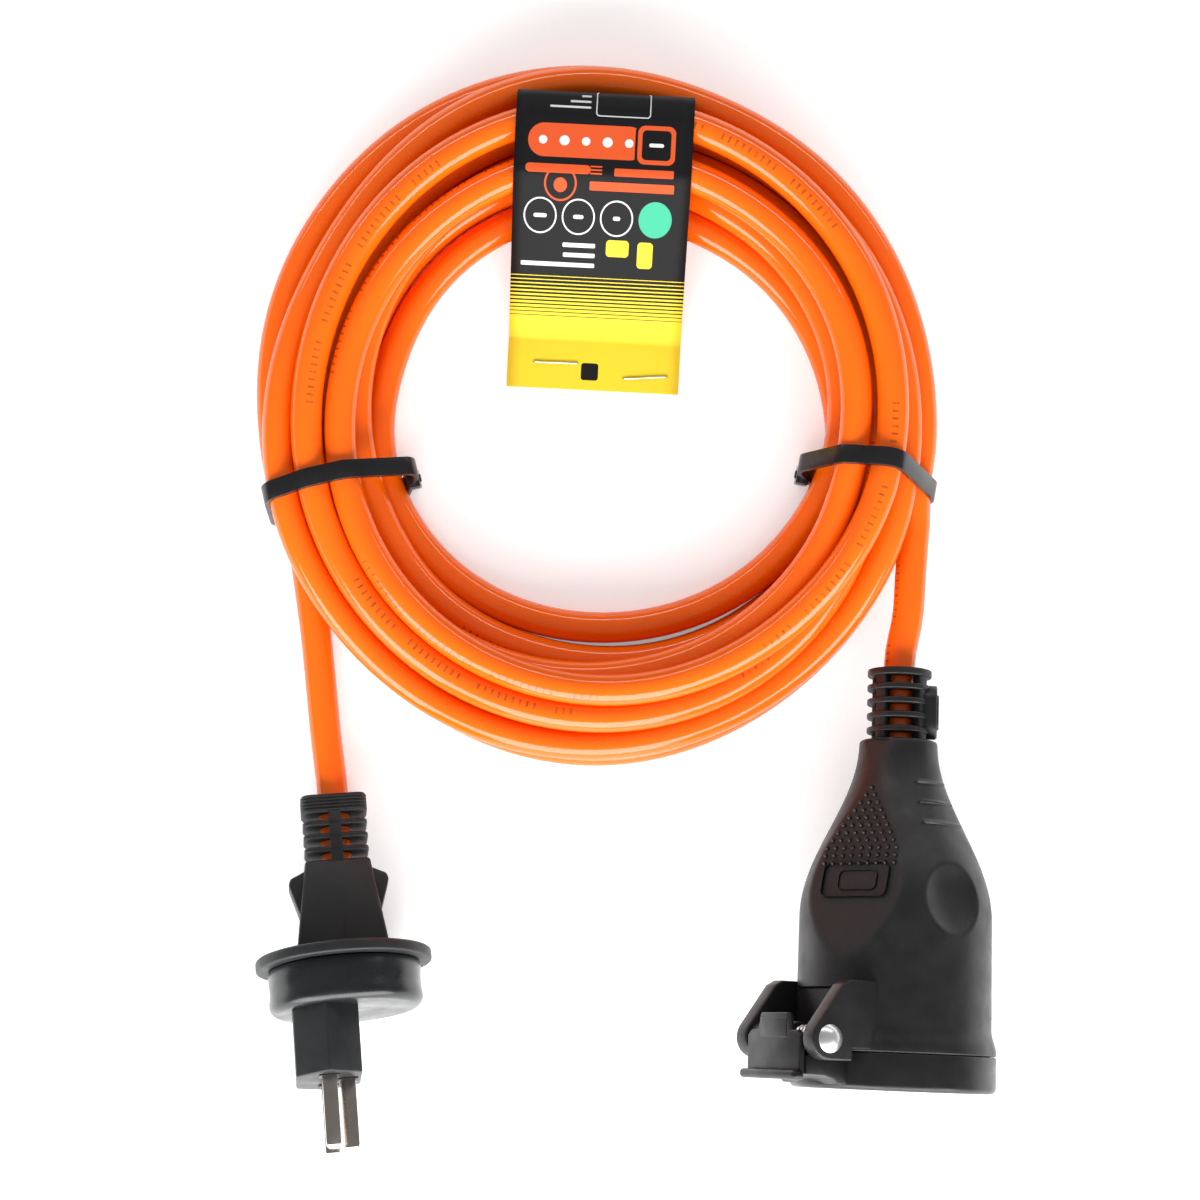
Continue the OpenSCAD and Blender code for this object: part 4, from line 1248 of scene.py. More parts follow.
@dataclass
class Label:
    """The folded card around the coil and its two staples.

    Its upper face lies high where the ends are closed on each other, and its under face lies low. The wall is the
    card's far side, measured from the stapled edge.
    """

    x: float = -6.9
    y: float = 59.8
    turn: float = -2.9
    width: float = 48.0
    thickness: float = 0.5
    low: float = 0.85
    high: float = 1.4
    closed: float = 15.0
    wall: float = 81.2
    staples: Sequence[tuple[float, float, float]] = ((-10.5, 7.3, 0.5), (14.6, 4.3, 5.5))
    staple_width: float = 12.4
    wire_radius: float = 0.25

    def matrix(self) -> Matrix:
        """The label's frame, with Y away from the staples."""
        return Matrix.Translation((self.x, self.y, 0.0)) @ turned(self.turn, "Z")

    def side_view(self, cord: Cord) -> list[Point2]:
        """The card's route in side view, over the turns, down their far side and back under them.

        Args:
            cord: The traced cord.

        Returns:
            The points, as [along, height].
        """
        clear = cord.diameter / 2 + self.thickness / 2 + 0.15
        rims: list[Point2] = []
        quarter = turned(90, "Z")
        for across in np.linspace(-self.width / 2, self.width / 2, 7):
            plane = self.matrix() @ Matrix.Translation((across, 0.0, 0.0)) @ quarter
            for along, height in cord.crossings(plane, 200.0):
                if 30.0 < along < self.wall - cord.diameter / 2 + 0.9:
                    rims += arc((along, height), clear, 10, 170, 16)
        rims = [(min(along, self.wall), height) for along, height in rims]
        corners = [(self.closed, self.high), (self.wall, self.high)]
        top = [p for p in hull_2d(rims + corners) if p[1] > self.high]
        start = [(along, self.high) for along in (0.0, 6.0, 12.0, self.closed)]
        down = [(self.wall, 12.0), (self.wall, 6.0), (self.wall, 3.2), (self.wall - 0.6, 1.6),
                (self.wall - 2.2, self.low), (self.wall - 6.0, self.low)]
        back = [(self.wall - 6.0 - i * (self.wall - 6.0) / 8, self.low) for i in range(1, 9)]
        return self.eased(start + sorted(top) + down + back)

    def eased(self, route: list[Point2]) -> list[Point2]:
        """Cuts a route's corners three times.

        Args:
            route: The route's points.

        Returns:
            The rounder route.
        """
        for _ in range(3):
            cut = [route[0]]
            for (ax, ay), (bx, by) in zip(route, route[1:]):
                cut += [((1 - t) * ax + t * bx, (1 - t) * ay + t * by) for t in (0.25, 0.75)]
            route = cut + [route[-1]]
        return route

    def card(self, cord: Cord) -> bpy.types.Object:
        """The card, with its printed face outwards and white edges.

        Args:
            cord: The traced cord.

        Returns:
            The card.
        """
        route = self.side_view(cord)
        part = bmesh.new()
        uv = part.loops.layers.uv.new("UVMap")
        lane = [part.verts.new((-self.width / 2, y, z)) for y, z in route]
        edges = [part.edges.new(pair) for pair in zip(lane, lane[1:])]
        columns = 12
        for _ in range(columns):
            grown = bmesh.ops.extrude_edge_only(part, edges=edges)["geom"]
            fresh = new_verts(grown)
            edges = [g for g in grown if isinstance(g, bmesh.types.BMEdge) and all(v in fresh for v in g.verts)]
            bmesh.ops.translate(part, vec=(self.width / columns, 0.0, 0.0), verts=fresh)
        half_way = next(i for i, p in enumerate(route) if p[0] > self.wall - 0.5)
        under = {round(route[i][0] + 1000 * route[i][1], 2) for i in range(half_way + 12, len(route))}
        for face in part.faces:
            hidden = all(round(v.co.y + 1000 * v.co.z, 2) in under for v in face.verts)
            for loop in face.loops:
                loop[uv].uv = (loop.vert.co.x + 100 * hidden, loop.vert.co.y)
        bmesh.ops.recalc_face_normals(part, faces=part.faces)
        piece = finish_piece(
            "label", part, self.matrix(), LabelPrint().make(), ("label_card",), angle=70.0)
        piece.data.materials.append(Finish("label_edge", (0.75, 0.75, 0.73), 0.7).make())
        wall = piece.modifiers.new("card", "SOLIDIFY")
        wall.thickness = self.thickness * MM
        wall.offset = 0.0
        wall.material_offset_rim = 1
        return piece

    def staple_wires(self, material: bpy.types.Material) -> bpy.types.Object:
        """Both staples, each one bent wire.

        Args:
            material: The wire's material.

        Returns:
            The staples.
        """
        top = self.high + self.thickness / 2 + self.wire_radius
        low = self.low - self.thickness / 2 - self.wire_radius + 0.05
        half = self.staple_width / 2
        bend = 0.5
        knee = half - bend
        side = [(half - 4.4, low), (half - 1.2, low), (knee, low), *arc((knee, low + bend), bend, -90, 0, 4),
                *arc((knee, top - bend), bend, 0, 90, 4)]
        wires = []
        for across, along, turn in self.staples:
            points = [Vector((x, 0.0, z)) for x, z in side]
            points += [Vector((-p.x, 0.0, p.z)) for p in reversed(points)]
            wire = tube(points, self.wire_radius, 10, up=Vector((0.0, 1.0, 0.0)))
            wires.append(placed(wire, Matrix.Translation((across, along, 0.0)), turned(turn, "Z")))
        return finish_piece("staples", joined(wires), self.matrix(), material, ("label_staples",))

    def build(self, cord: Cord) -> list[bpy.types.Object]:
        """Builds the card and its staples."""
        return [self.card(cord), self.staple_wires(WIRE.make())]


# ---- plug ----


@dataclass
class Plug:
    """The moulded plug: ribbed relief, grip with finger wings, flange, sealing collar, six-sided nose and pins."""

    place: Place = Place(-78.6, -53.6, 8.6087, 18.5, 6.0, -8.5)
    relief: Point2 = (17.6, 12.5)
    relief_corner: float = 2.4
    block_length: float = 5.2
    slots: int = 4
    slot: float = 2.1
    pitch: float = 3.7
    bar: float = 3.4
    grip_from: float = 18.4
    grip_to: float = 44.0
    grip_end: Point2 = (25.2, 17.0)
    wing_reach: float = 13.6
    wing_thickness: float = 9.0
    flange_radius: float = 23.8
    flange_to: float = 47.2
    collar_radius: float = 20.7
    collar_to: float = 59.2
    nose_to: float = 77.2
    nose_offset: float = -6.0
    nose: Sequence[float] = (17.4, 36.0, 21.6)
    pin_length: float = 19.0
    pin_root: float = 5.0
    pin_tip: float = 1.5
    pin: Point2 = (4.0, 5.0)
    bore: float = 4.45

    def relief_part(self) -> list[BMesh]:
        """The end block with fine ridges, the ribs and the bars that join them.

        Returns:
            The meshes.
        """
        wide, thick = self.relief
        outline = rounded_box(wide, thick, self.relief_corner)
        parts = [self.plate(outline, 0.0, self.block_length, 0.5)]
        for i in range(5):
            ridge = rounded_box(wide + 0.5, thick + 0.5, self.relief_corner + 0.2)
            parts.append(self.plate(ridge, 0.55 + 0.92 * i, 0.42, 0.18))
        for i in range(self.slots - 1):
            station = self.block_length + self.slot + i * self.pitch
            parts.append(self.plate(outline, station, self.pitch - self.slot, 0.6))
        for side in (-1, 1):
            middle = (0.0, side * (self.bore + thick / 2) / 2, self.grip_from / 2 + 1)
            parts.append(block((self.bar, thick / 2 - self.bore, self.grip_from), middle, 0.3))
        return parts

    def plate(self, outline: Sequence[Point2], station: float, depth: float, bevel: float) -> BMesh:
        """A plate across the axis."""
        return placed(slab(outline, depth, bevel, 3), Matrix.Translation((0.0, 0.0, station)))

    def grip_part(self) -> list[BMesh]:
        """The grip's widening block, its parting line, the wings and the flange.

        Returns:
            The meshes.
        """
        parts = [soften(tapered(self.relief, self.grip_end, self.grip_from, self.grip_to + 0.4), 0.9, 3)]
        t0, t1 = self.relief[1], self.grip_end[1]
        lean = math.atan2(t1 - t0, 2 * (self.grip_to - self.grip_from))
        for side in (-1, 1):
            line = block((0.3, 0.3, 9.0), (0.0, 0.0, 0.0), 0.1, 1)
            parts.append(placed(line, Matrix.Translation((0.6, side * (t1 / 2 - 0.45), self.grip_to - 4.6)),
                                Matrix.Rotation(-side * lean, 4, "X")))
            parts.append(self.wing(side))
        r, low, high = self.flange_radius, self.grip_to, self.flange_to
        rim = [(0.0, low), (r - 1.4, low), *arc((r - 0.9, low + 0.9), 0.9, -90, 0, 4),
               *arc((r - 0.7, high - 0.7), 0.7, 0, 90, 4), (0.0, high)]
        parts.append(lathe(rim, 144))
        return parts

    def wing(self, side: int) -> BMesh:
        """One arrow-shaped finger wing.

        Args:
            side: 1 for the right one, -1 for the left one.

        Returns:
            The mesh.
        """
        root, reach, s = self.relief[0] / 2, self.wing_reach, self.grip_from
        outline = [
            (root - 2, s + 1.5), (root + 0.4, s + 2.6), (reach - 0.6, s + 4.4), (reach, s + 6.0),
            (root + 2.2, s + 14.5), (root - 2, s + 16)]
        wing = slab([(side * x, z) for x, z in outline], self.wing_thickness, 0.45, 2)
        return placed(wing, Matrix.Translation((0.0, self.wing_thickness / 2, 0.0)), turned(90, "X"))

    def collar_part(self) -> BMesh:
        """The sealing collar, a little waisted, with a full lower edge.

        Returns:
            The mesh.
        """
        r, low, high = self.collar_radius, self.flange_to, self.collar_to
        profile = [
            (12.0, low), (r - 1.2, low), (r - 0.3, low + 0.4), (r, low + 1.2), (r - 0.25, low + 4.5),
            (r - 0.25, low + 7.0), (r, high - 3.4), *arc((r - 2.6, high - 2.6), 2.6, 0, 90, 10), (12.0, high)]
        line = block((0.24, 0.3, 9.0), (0.6, r - 0.2, low + 5.2), 0.08, 1)
        return joined([lathe([(0.0, low), *profile, (0.0, high)], 144), line])

    def nose_part(self) -> BMesh:
        """The six-sided nose and the pins' seats.

        Returns:
            The mesh.
        """
        thick, wide, flat = self.nose
        outline = [(0.0, wide / 2), (-thick / 2, flat / 2), (-thick / 2, -flat / 2), (0.0, -wide / 2),
                   (thick / 2, -flat / 2), (thick / 2, flat / 2)]
        body = placed(slab(outline, self.nose_to - self.collar_to + 3, 0.45, 3),
                      Matrix.Translation((self.nose_offset, 0.0, self.collar_to - 3)))
        seats = [
            placed(slab(rounded_box(self.pin[0] + 1.6, self.pin[1] + 1.6, 0.8, 3), 0.5, 0.15),
                   Matrix.Translation((x, y, self.nose_to - 0.1)))
            for x, y in self.pin_spots()]
        return joined([body, *seats])

    def pin_spots(self) -> list[Point2]:
        """The line, neutral and earth pins' places across the axis."""
        return [(self.nose_offset, 9.5), (self.nose_offset, -9.5), (-1.0, 0.0)]

    def pin_part(self, spot: Point2) -> BMesh:
        """One flat pin with softened edges and a chamfered tip.

        Args:
            spot: Its place across the axis.

        Returns:
            The mesh.
        """
        high = self.nose_to + self.pin_length
        body = tapered(self.pin, self.pin, self.nose_to - self.pin_root, high)
        tip = [e for e in body.edges if all(v.co.z > high - 0.1 for v in e.verts)]
        bevelled(body, tip, self.pin_tip, 3)
        soften(body, 0.35, 2, 40.0)
        return placed(body, Matrix.Translation((*spot, 0.0)))

    def build(self) -> list[bpy.types.Object]:
        """Builds the plug's pieces.

        Returns:
            The pieces.
        """
        place = self.place.matrix()
        nickel = NICKEL.make()
        pieces = [
            finish_piece("plug_body", joined([*self.relief_part(), *self.grip_part()]), place, GRIP_RUBBER.make(),
                         ("plug_grip",)),
            finish_piece("plug_seal", self.collar_part(), place, COLLAR_RUBBER.make(),
                         ("plug_collar",)),
            finish_piece("plug_front", self.nose_part(), place, NOSE_PLASTIC.make(),
                         ("plug_nose",)),
        ]
        for name, spot in zip(("line", "neutral", "earth"), self.pin_spots()):
            pieces.append(finish_piece(
                f"pin_{name}", self.pin_part(spot), place, nickel, (f"plug_pin_{name}",), angle=25.0))
        return pieces


# ---- coupler ----


def soft_min(a: float, b: float, blend: float) -> float:
    """The smaller of two values, with a rounded change between them."""
    share = max(blend - abs(a - b), 0.0) / blend
    return min(a, b) - share * share * blend / 4


def step_up(value: float, start: float, end: float) -> float:
    """Rises smoothly from 0 at the start to 1 at the end."""
    t = min(max((value - start) / (end - start), 0.0), 1.0)
    return t * t * (3 - 2 * t)


@dataclass
class Coupler:
    """The moulded coupler: ribbed relief, waisted body with finger faces, rim, mouth and hinge ears."""

    place: Place = Place(77.6, -18.2, 13.5005, 10.5, -2.3)
    hinge_turn: float = 151.5
    neck_radius: float = 8.75
    neck_to: float = 20.8
    neck_slots: int = 5
    neck_first: float = 2.0
    neck_slot: float = 2.3
    neck_pitch: float = 3.9
    bore: float = 4.5
    shoulder_radius: float = 10.6
    shoulder_s: float = 20.0
    flare_to: float = 68.0
    body_radius: float = 25.8
    rim_radius: float = 27.3
    rim_from: float = 97.5
    seam: float = 103.4
    mouth_radius: float = 23.5
    mouth_to: float = 109.4
    well_radius: float = 21.1
    well_floor: float = 96.8
    leaf_angle: float = 38.0
    leaf_slope: float = 15.5
    leaf_from: float = 31.0
    leaf_radius: float = 12.5
    plaque_from_leaf: float = 29.0
    dimple_angle: float = -31.0
    dimple_s: float = 59.0
    dimple_radius: float = 11.2
    dimple_depth: float = 2.4
    ridge_stations: Sequence[float] = (31.5, 37.1, 42.7)
    ridge_angle: float = 49.5
    ridge_ends: Point2 = (24.0, 27.5)
    ridge_height: float = 0.62
    ridge_width: float = 0.42
    dot_rows: int = 11
    dots_in_row: int = 9
    dot_pitch: Point2 = (2.7, 2.15)
    dot_radius: float = 0.66
    pad_turn: float = 8.0
    hinge_radius: float = 32.6
    hinge_s: float = 100.6
    ear_in: float = 13.5
    ear_thickness: float = 5.0
    ear_radius: float = 5.4
    ear_from: float = 85.3
    recess_x: float = 23.3
    steps: int = 256

    def hinge_place(self) -> Matrix:
        """The coupler's frame turned so that X points to the hinge."""
        return self.place.matrix() @ turned(self.hinge_turn, "Z")

    def flare(self, s: float) -> float:
        """The body's plain form, before its faces are cut.

        Args:
            s: The station.

        Returns:
            The radius there.
        """
        u = min(max((s - self.shoulder_s) / (self.flare_to - self.shoulder_s), 0.0), 1.0)
        base = self.shoulder_radius + (self.body_radius - self.shoulder_radius) * (1 - math.cos(math.pi * u)) / 2
        waist = 0.2 * step_up(s, self.flare_to, self.rim_from)
        rim = (self.rim_radius - self.body_radius - 0.2) * step_up(s, self.rim_from - 1.0, self.seam - 0.9)
        return base + waist + rim

    def profile(self) -> list[Point2]:
        """Half section of the body: outside, rim, mouth, well and inner end.

        Returns:
            The closed section's points, as [radius, station].
        """
        stations = [self.shoulder_s + 0.9]
        while stations[-1] < self.seam - 1.2:
            fine = 30.0 < stations[-1] < 45.0
            stations.append(stations[-1] + (0.26 if fine else 0.55))
        outside = [(self.flare(s), s) for s in stations]
        r = self.rim_radius
        shoulder = [(self.bore, self.shoulder_s - 0.4), (self.shoulder_radius - 1.4, self.shoulder_s - 0.4),
                    *arc((self.shoulder_radius - 0.9, self.shoulder_s + 0.5), 0.9, -90, -10, 4)]
        rim = [(r, self.seam - 0.8), *arc((r - 0.4, self.seam - 0.4), 0.4, 0, 90, 3)]
        lip = self.mouth_radius
        mouth = [(lip + 0.5, self.seam), *arc((lip + 0.5, self.seam + 0.5), 0.5, -90, -180, 3),
                 *arc((lip - 0.4, self.mouth_to - 0.4), 0.4, 0, 90, 3),
                 *arc((self.well_radius + 0.4, self.mouth_to - 0.4), 0.4, 90, 180, 3)]
        inside = [(self.well_radius, self.well_floor), (self.well_radius - 0.3, self.well_floor - 0.05),
                  (self.well_radius - 0.3, 75.0), (18.4, 75.0), (18.4, 56.2), (self.bore, 56.2)]
        return [*shoulder, *outside, *rim, *mouth, *inside]

    def leaf_limit(self, s: float, angle: float) -> float:
        """How far a finger face cuts the body.

        Args:
            s: The station.
            angle: Angle from the face's middle.

        Returns:
            The radius of the cut.
        """
        if abs(angle) > math.radians(80):
            return NO_CUT
        reach = self.leaf_radius + (s - self.leaf_from) * math.tan(math.radians(self.leaf_slope))
        return reach / math.cos(angle) if reach > 6 else NO_CUT

    def dimple_limit(self, s: float, angle: float) -> float:
        """How far the thumb dimple cuts the body.

        Args:
            s: The station.
            angle: Angle from the dimple's middle.

        Returns:
            The radius of the cut.
        """
        ball = (self.dimple_radius**2 + self.dimple_depth**2) / (2 * self.dimple_depth)
        centre = self.flare(self.dimple_s) + ball - self.dimple_depth
        under = ball**2 - (s - self.dimple_s) ** 2 - (centre * math.sin(angle)) ** 2
        if under <= 0 or abs(angle) > 1.2:
            return NO_CUT
        return centre * math.cos(angle) - math.sqrt(under)

    def sculpt(self, part: BMesh) -> None:
        """Moves the spun body's outside to its finger faces, dimples, ridges and hinge recess.

        Args:
            part: The body's mesh.
        """
        for vert in part.verts:
            s = vert.co.z
            r = math.hypot(vert.co.x, vert.co.y)
            if r < self.flare(s) - 0.6 or not self.shoulder_s < s <= self.seam:
                continue
            angle = math.atan2(vert.co.y, vert.co.x)
            fresh = r
            for side in (0.0, math.pi):
                lean = self.wrapped(angle - math.radians(90 + self.leaf_angle) - side)
                fresh = soft_min(fresh, self.leaf_limit(s, lean), 0.5)
                lean = self.wrapped(angle - math.radians(90 + self.dimple_angle) - side)
                fresh = soft_min(fresh, self.dimple_limit(s, lean), 0.35)
                lean = abs(self.wrapped(angle - math.radians(self.ridge_angle) - side))
                window = 1 - step_up(lean, *map(math.radians, self.ridge_ends))
                for ridge in self.ridge_stations:
                    fresh += self.ridge_height * window * math.exp(-(((s - ridge) / self.ridge_width) ** 2))
            around = self.wrapped(angle - math.radians(self.hinge_turn))
            if s > self.ear_from + 2 and abs(r * math.sin(around)) < self.ear_in and abs(around) < 1.2:
                fresh = min(fresh, self.recess_x / math.cos(around))
            vert.co.x *= fresh / r
            vert.co.y *= fresh / r

    def wrapped(self, angle: float) -> float:
        """An angle from minus half a turn to half a turn."""
        return (angle + math.pi) % FULL_TURN - math.pi

    def leaf_frame(self, side: float) -> Matrix:
        """The plane of a finger face, with Y away from the coupler and Z along the face."""
        return (turned(self.leaf_angle + side, "Z") @ Matrix.Translation((0.0, self.leaf_radius, self.leaf_from))
                @ turned(-self.leaf_slope, "X"))

    def leaf_details(self, side: float) -> list[BMesh]:
        """The rows of dots and the bare plaque of a finger face.

        Args:
            side: 0 for the upper face, 180 for the lower one.

        Returns:
            The meshes.
        """
        parts = []
        across, along = self.dot_pitch
        for row in range(self.dot_rows):
            count = min(row + 1, self.dots_in_row)
            for i in range(count):
                at = (across * (i - (count - 1) / 2), 0.0, 2.6 + along * row)
                dot = bmesh.new()
                bmesh.ops.create_uvsphere(dot, u_segments=8, v_segments=5, radius=self.dot_radius)
                parts.append(placed(dot, self.leaf_frame(side), Matrix.Translation(at),
                                    Matrix.Diagonal((1.0, 1.25, 1.0, 1.0))))
        for x, wide, tall, line, high in ((0.0, 20.0, 9.4, 0.9, 0.9), (0.6, 11.6, 5.4, 0.5, 0.5)):
            at = Matrix.Translation((x, high, self.plaque_from_leaf))
            ring = self.frame_ring(wide, tall, line, 1.0 + high)
            parts.append(placed(ring, self.leaf_frame(side), at, turned(90, "X")))
        return parts

    def frame_ring(self, wide: float, tall: float, line: float, depth: float) -> BMesh:
        """A rounded rectangular frame.

        Args:
            wide: Outer width.
            tall: Outer height.
            line: Width of its border.
            depth: Its depth.

        Returns:
            The mesh.
        """
        part = bmesh.new()
        corner = min(1.9, tall / 4)
        outline = rounded_box(wide, tall, corner, 5)
        face = part.faces.new([part.verts.new((x, y, 0.0)) for x, y in outline])
        bmesh.ops.inset_region(part, faces=[face], thickness=line, use_even_offset=True, use_boundary=True)
        bmesh.ops.delete(part, geom=[face], context="FACES_ONLY")
        grown = bmesh.ops.extrude_face_region(part, geom=part.faces[:])["geom"]
        bmesh.ops.translate(part, vec=(0, 0, depth), verts=new_verts(grown))
        bmesh.ops.recalc_face_normals(part, faces=part.faces)
        return soften(part, line * 0.3, 2, 50.0)

    def neck_part(self) -> list[BMesh]:
        """The relief's ribs, the bars between them and the oval pad.

        Returns:
            The meshes.
        """
        r, inner = self.neck_radius, self.bore
        spans = [(0.0, self.neck_first)]
        for i in range(self.neck_slots):
            low = self.neck_first + self.neck_slot + i * self.neck_pitch
            spans.append((low, low + self.neck_pitch - self.neck_slot))
        parts = []
        b = 0.4
        for low, high in spans:
            ring = [(inner, low), *arc((r - b, low + b), b, -90, 0, 3), *arc((r - b, high - b), b, 0, 90, 3),
                    (inner, high)]
            parts.append(lathe(ring, 72, closed=True))
        for quarter in range(4):
            bar = block((2.6, 3.2, self.neck_to), (r - 1.75, 0.0, self.neck_to / 2), 0.3)
            parts.append(placed(bar, turned(45 + 90 * quarter, "Z")))
        for wide, tall, reach, depth, bevel in ((14.8, 9.4, 10.35, 3.8, 0.6), (9.6, 4.6, 10.8, 1.0, 0.3)):
            pad = slab(rounded_box(wide, tall, tall / 2 - 0.05, 8), depth, bevel, 3)
            at = Matrix.Translation((reach - depth, 0.0, self.neck_to / 2 + 1))
            parts.append(placed(pad, turned(self.pad_turn, "Z"), at, turned(90, "Y")))
        return parts

    def ear_part(self) -> list[BMesh]:
        """Both hinge ears.

        Returns:
            The meshes, in the coupler's frame.
        """
        r, s, e = self.hinge_radius, self.hinge_s, self.ear_radius
        top = self.ear_from
        outline = [(17.5, top), (r - 5.9, top), *arc((r - 4.4, top + 2.2), 1.2, -70, -30, 3)]
        outline += arc((r, s), e, -34, 90, 10)
        outline += [(r - 7.0, s + e), (r - 7.0, self.seam - 0.5), (17.5, self.seam - 0.5)]
        parts = []
        for y in (-self.ear_in, self.ear_in + self.ear_thickness):
            ear = slab(outline, self.ear_thickness, 0.55, 3)
            parts.append(placed(
                ear, turned(self.hinge_turn, "Z"), Matrix.Translation((0.0, y, 0.0)), turned(90, "X")))
        return parts

    def rivet_part(self) -> BMesh:
        """The hinge pin with its domed head.

        Returns:
            The mesh, along Z.
        """
        head, high, shank, reach = 3.6, 1.6, 2.0, self.ear_in + self.ear_thickness
        ball = (head**2 + high**2) / (2 * high)
        dome = arc((0.0, ball - reach - high), ball, -90, -90 + math.degrees(math.asin(head / ball)), 10)
        profile = [*dome, (head, -reach + 0.02), (shank, -reach + 0.02), (shank, reach + 0.2),
                   (shank - 0.3, reach + 0.5), (0.0, reach + 0.5)]
        return lathe(profile, 48)

    def build(self) -> list[bpy.types.Object]:
        """Builds the housing and the hinge pin.

        Returns:
            The pieces.
        """
        body = lathe(self.profile(), self.steps, closed=True)
        self.sculpt(body)
        parts = [body, *self.neck_part(), *self.ear_part()]
        for side in (0.0, 180.0):
            parts += self.leaf_details(side)
        along = Matrix.Translation((self.hinge_radius, 0.0, self.hinge_s)) @ turned(-90, "X")
        return [
            finish_piece("coupler_body", joined(parts), self.place.matrix(), RUBBER.make(),
                         ("coupler_housing",)),
            finish_piece("hinge_rivet", placed(self.rivet_part(), along), self.hinge_place(), RIVET.make(),
                         ("hinge_pin",)),
        ]


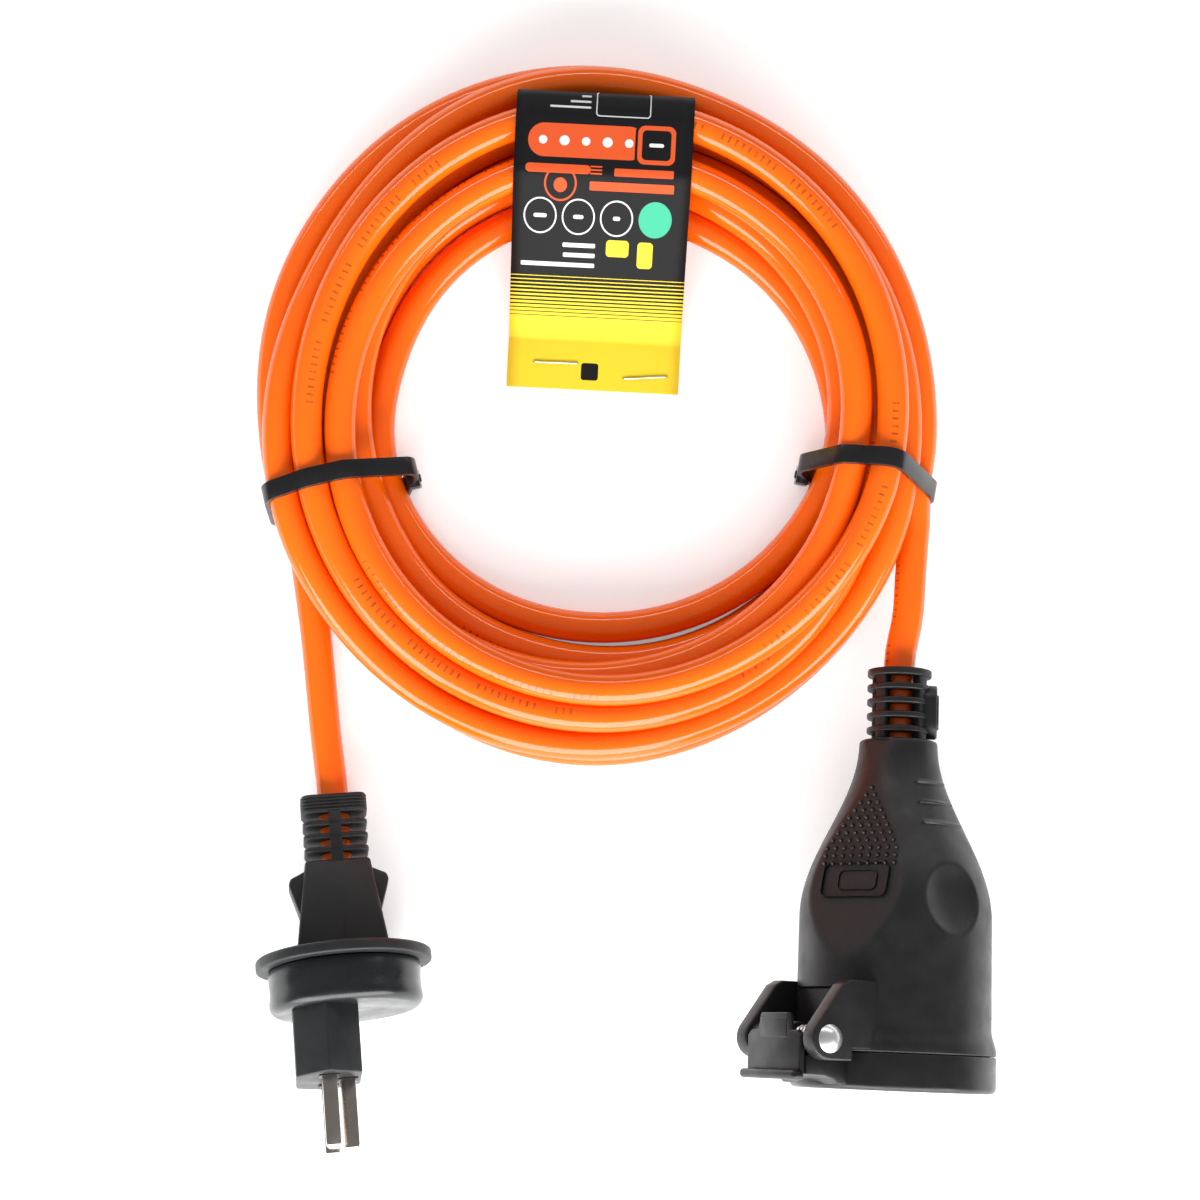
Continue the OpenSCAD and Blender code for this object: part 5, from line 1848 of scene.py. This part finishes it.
@dataclass
class Lid:
    """The coupler's lid: cap, arm, knuckle and thumb tab."""

    radius: float = 27.3
    inner_radius: float = 24.6
    low: float = 103.55
    end: float = 113.2
    wall: float = 2.2
    edge: float = 1.6
    hinge_radius: float = 32.6
    hinge_s: float = 100.6
    arm_width: float = 26.4
    tab_x: float = 38.0
    tab_thickness: float = 1.8
    tab_width: float = 15.0
    knuckle_radius: float = 4.3
    knuckle_length: float = 17.4
    arm_end: float = 109.8

    def cap(self) -> BMesh:
        """The round cap, with a shallow dish in its end.

        Returns:
            The mesh.
        """
        r, e = self.radius, self.edge
        profile = [
            (self.inner_radius, self.low + 0.2), (self.inner_radius + 0.2, self.low), (r - 0.4, self.low),
            *arc((r - 0.3, self.low + 0.3), 0.3, -90, 0, 3), *arc((r - e, self.end - e), e, 0, 90, 7),
            (20.6, self.end), (20.0, self.end - 0.4), (0.0, self.end - 0.4), (0.0, self.end - self.wall),
            (self.inner_radius, self.end - self.wall)]
        return lathe(profile, 192, closed=True)

    def arm(self) -> BMesh:
        """The arm between cap and thumb tab, fitted to the cap's curve.

        Returns:
            The mesh.
        """
        low = self.hinge_s + self.knuckle_radius
        back = self.tab_x - self.tab_thickness
        outline = [
            (20.0, low), (back, low), (back, self.arm_end), (self.hinge_radius - 2, self.arm_end + 0.2),
            (self.hinge_radius - 5, self.arm_end + 1), (self.radius - 1, self.end - 1.2), (20.0, self.end - 1.2)]
        part = slab(outline, self.arm_width)
        for i in range(1, 12):
            bmesh.ops.bisect_plane(
                part, geom=[*part.verts, *part.edges, *part.faces], plane_co=(0, 0, self.arm_width * i / 12),
                plane_no=(0, 0, 1))
        for vert in part.verts:
            if vert.co.x < 21:
                y = vert.co.z - self.arm_width / 2
                vert.co.x = math.sqrt((self.inner_radius + 1.0) ** 2 - y * y)
        soften(part, 0.45, 2, 50.0)
        return placed(part, Matrix.Translation((0.0, self.arm_width / 2, 0.0)), turned(90, "X"))

    def tab(self) -> list[BMesh]:
        """The stepped thumb tab with its rolled lip.

        Returns:
            The meshes.
        """
        x = self.tab_x - self.tab_thickness / 2
        top, wide_top = self.hinge_s - 6.4, self.hinge_s - 2.0
        wide = self.arm_width - 1.4
        upright = turned(90, "Z") @ turned(90, "X")
        outline = [
            (-wide / 2, self.arm_end), (-wide / 2, wide_top + 1.4), (-wide / 2 + 1.6, wide_top),
            (-self.tab_width / 2, wide_top), (-self.tab_width / 2 + 1.2, top), (self.tab_width / 2 - 1.2, top),
            (self.tab_width / 2, wide_top), (wide / 2 - 1.6, wide_top), (wide / 2, wide_top + 1.4),
            (wide / 2, self.arm_end)]
        plate = placed(slab(outline, self.tab_thickness, 0.4, 3),
                       Matrix.Translation((x - self.tab_thickness / 2, 0.0, 0.0)), upright)
        pad = block((0.8, self.tab_width - 2.4, 5.2), (x + 0.65, 0.0, wide_top - 0.6), 0.35, 3)
        lip = block((3.6, self.arm_width, 2.5), (self.tab_x + 0.4, 0.0, self.arm_end + 0.2), 1.1, 4)
        return [plate, pad, lip]

    def knuckle(self) -> list[BMesh]:
        """The sleeve around the hinge pin and its root.

        Returns:
            The meshes.
        """
        r = self.knuckle_radius
        low, high = self.arm_width / 2 - self.knuckle_length, self.arm_width / 2
        ring = [(2.05, low), *arc((r - 0.4, low + 0.4), 0.4, -90, 0, 3), *arc((r - 0.4, high - 0.4), 0.4, 0, 90, 3),
                (2.05, high)]
        sleeve = placed(lathe(ring, 48, closed=True), Matrix.Translation((self.hinge_radius, 0.0, self.hinge_s)),
                        turned(-90, "X"))
        root = block((self.tab_x - self.hinge_radius + 1.0, self.knuckle_length, 3.6),
                     ((self.hinge_radius + self.tab_x) / 2 - 1.6, (low + high) / 2, self.hinge_s + 3.6), 0.3)
        return [sleeve, root]

    def build(self, place: Matrix) -> bpy.types.Object:
        """Builds the lid.

        Args:
            place: The hinge's frame.

        Returns:
            The lid.
        """
        part = joined([self.cap(), self.arm(), *self.tab(), *self.knuckle()])
        return finish_piece("coupler_lid", part, place, LID_RUBBER.make(), ("lid",), Body.LID)


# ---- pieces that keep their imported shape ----


def dress_inner_pieces(nodes: dict[str, bpy.types.Object]) -> None:
    """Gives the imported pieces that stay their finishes.

    Args:
        nodes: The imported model's objects by name.
    """
    finishes = {
        NOSE_PLASTIC: ("coupler_insert",),
        BRASS: ("coupler_contact_line", "coupler_contact_neutral", "coupler_contact_earth"),
        CORE_BROWN: ("plug_core_line", "coupler_core_line"),
        CORE_BLUE: ("plug_core_neutral", "coupler_core_neutral"),
        CORE_GREEN: ("plug_core_earth", "coupler_core_earth"),
        GASKET: ("lid_gasket",),
        SPRING: ("lid_spring",),
    }
    for finish, names in finishes.items():
        material = finish.make()
        for name in names:
            for slot in nodes[name].material_slots:
                slot.material = material
            LOG.info("%s: %s", name, finish.name)


def main() -> None:
    """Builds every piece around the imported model."""
    logging.basicConfig(level=logging.INFO, format="%(message)s")
    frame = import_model()
    Studio().build()
    plug, coupler, cord = Plug(), Coupler(), Cord()
    cord.trace(plug.place, coupler.place)
    plug_pieces = plug.build()
    cord.build(coupler.place.at(0.0), plug_pieces)
    coupler.build()
    Lid().build(coupler.hinge_place())
    nylon = NYLON.make()
    CableTie("left", 196.5, 75.25, -4.0, -0.28).build(cord, nylon)
    CableTie("right", -14.0, 77.25, 4.0, 0.28).build(cord, nylon)
    Label().build(cord)
    dress_inner_pieces(frame["nodes"])


if __name__ == "__main__":
    main()
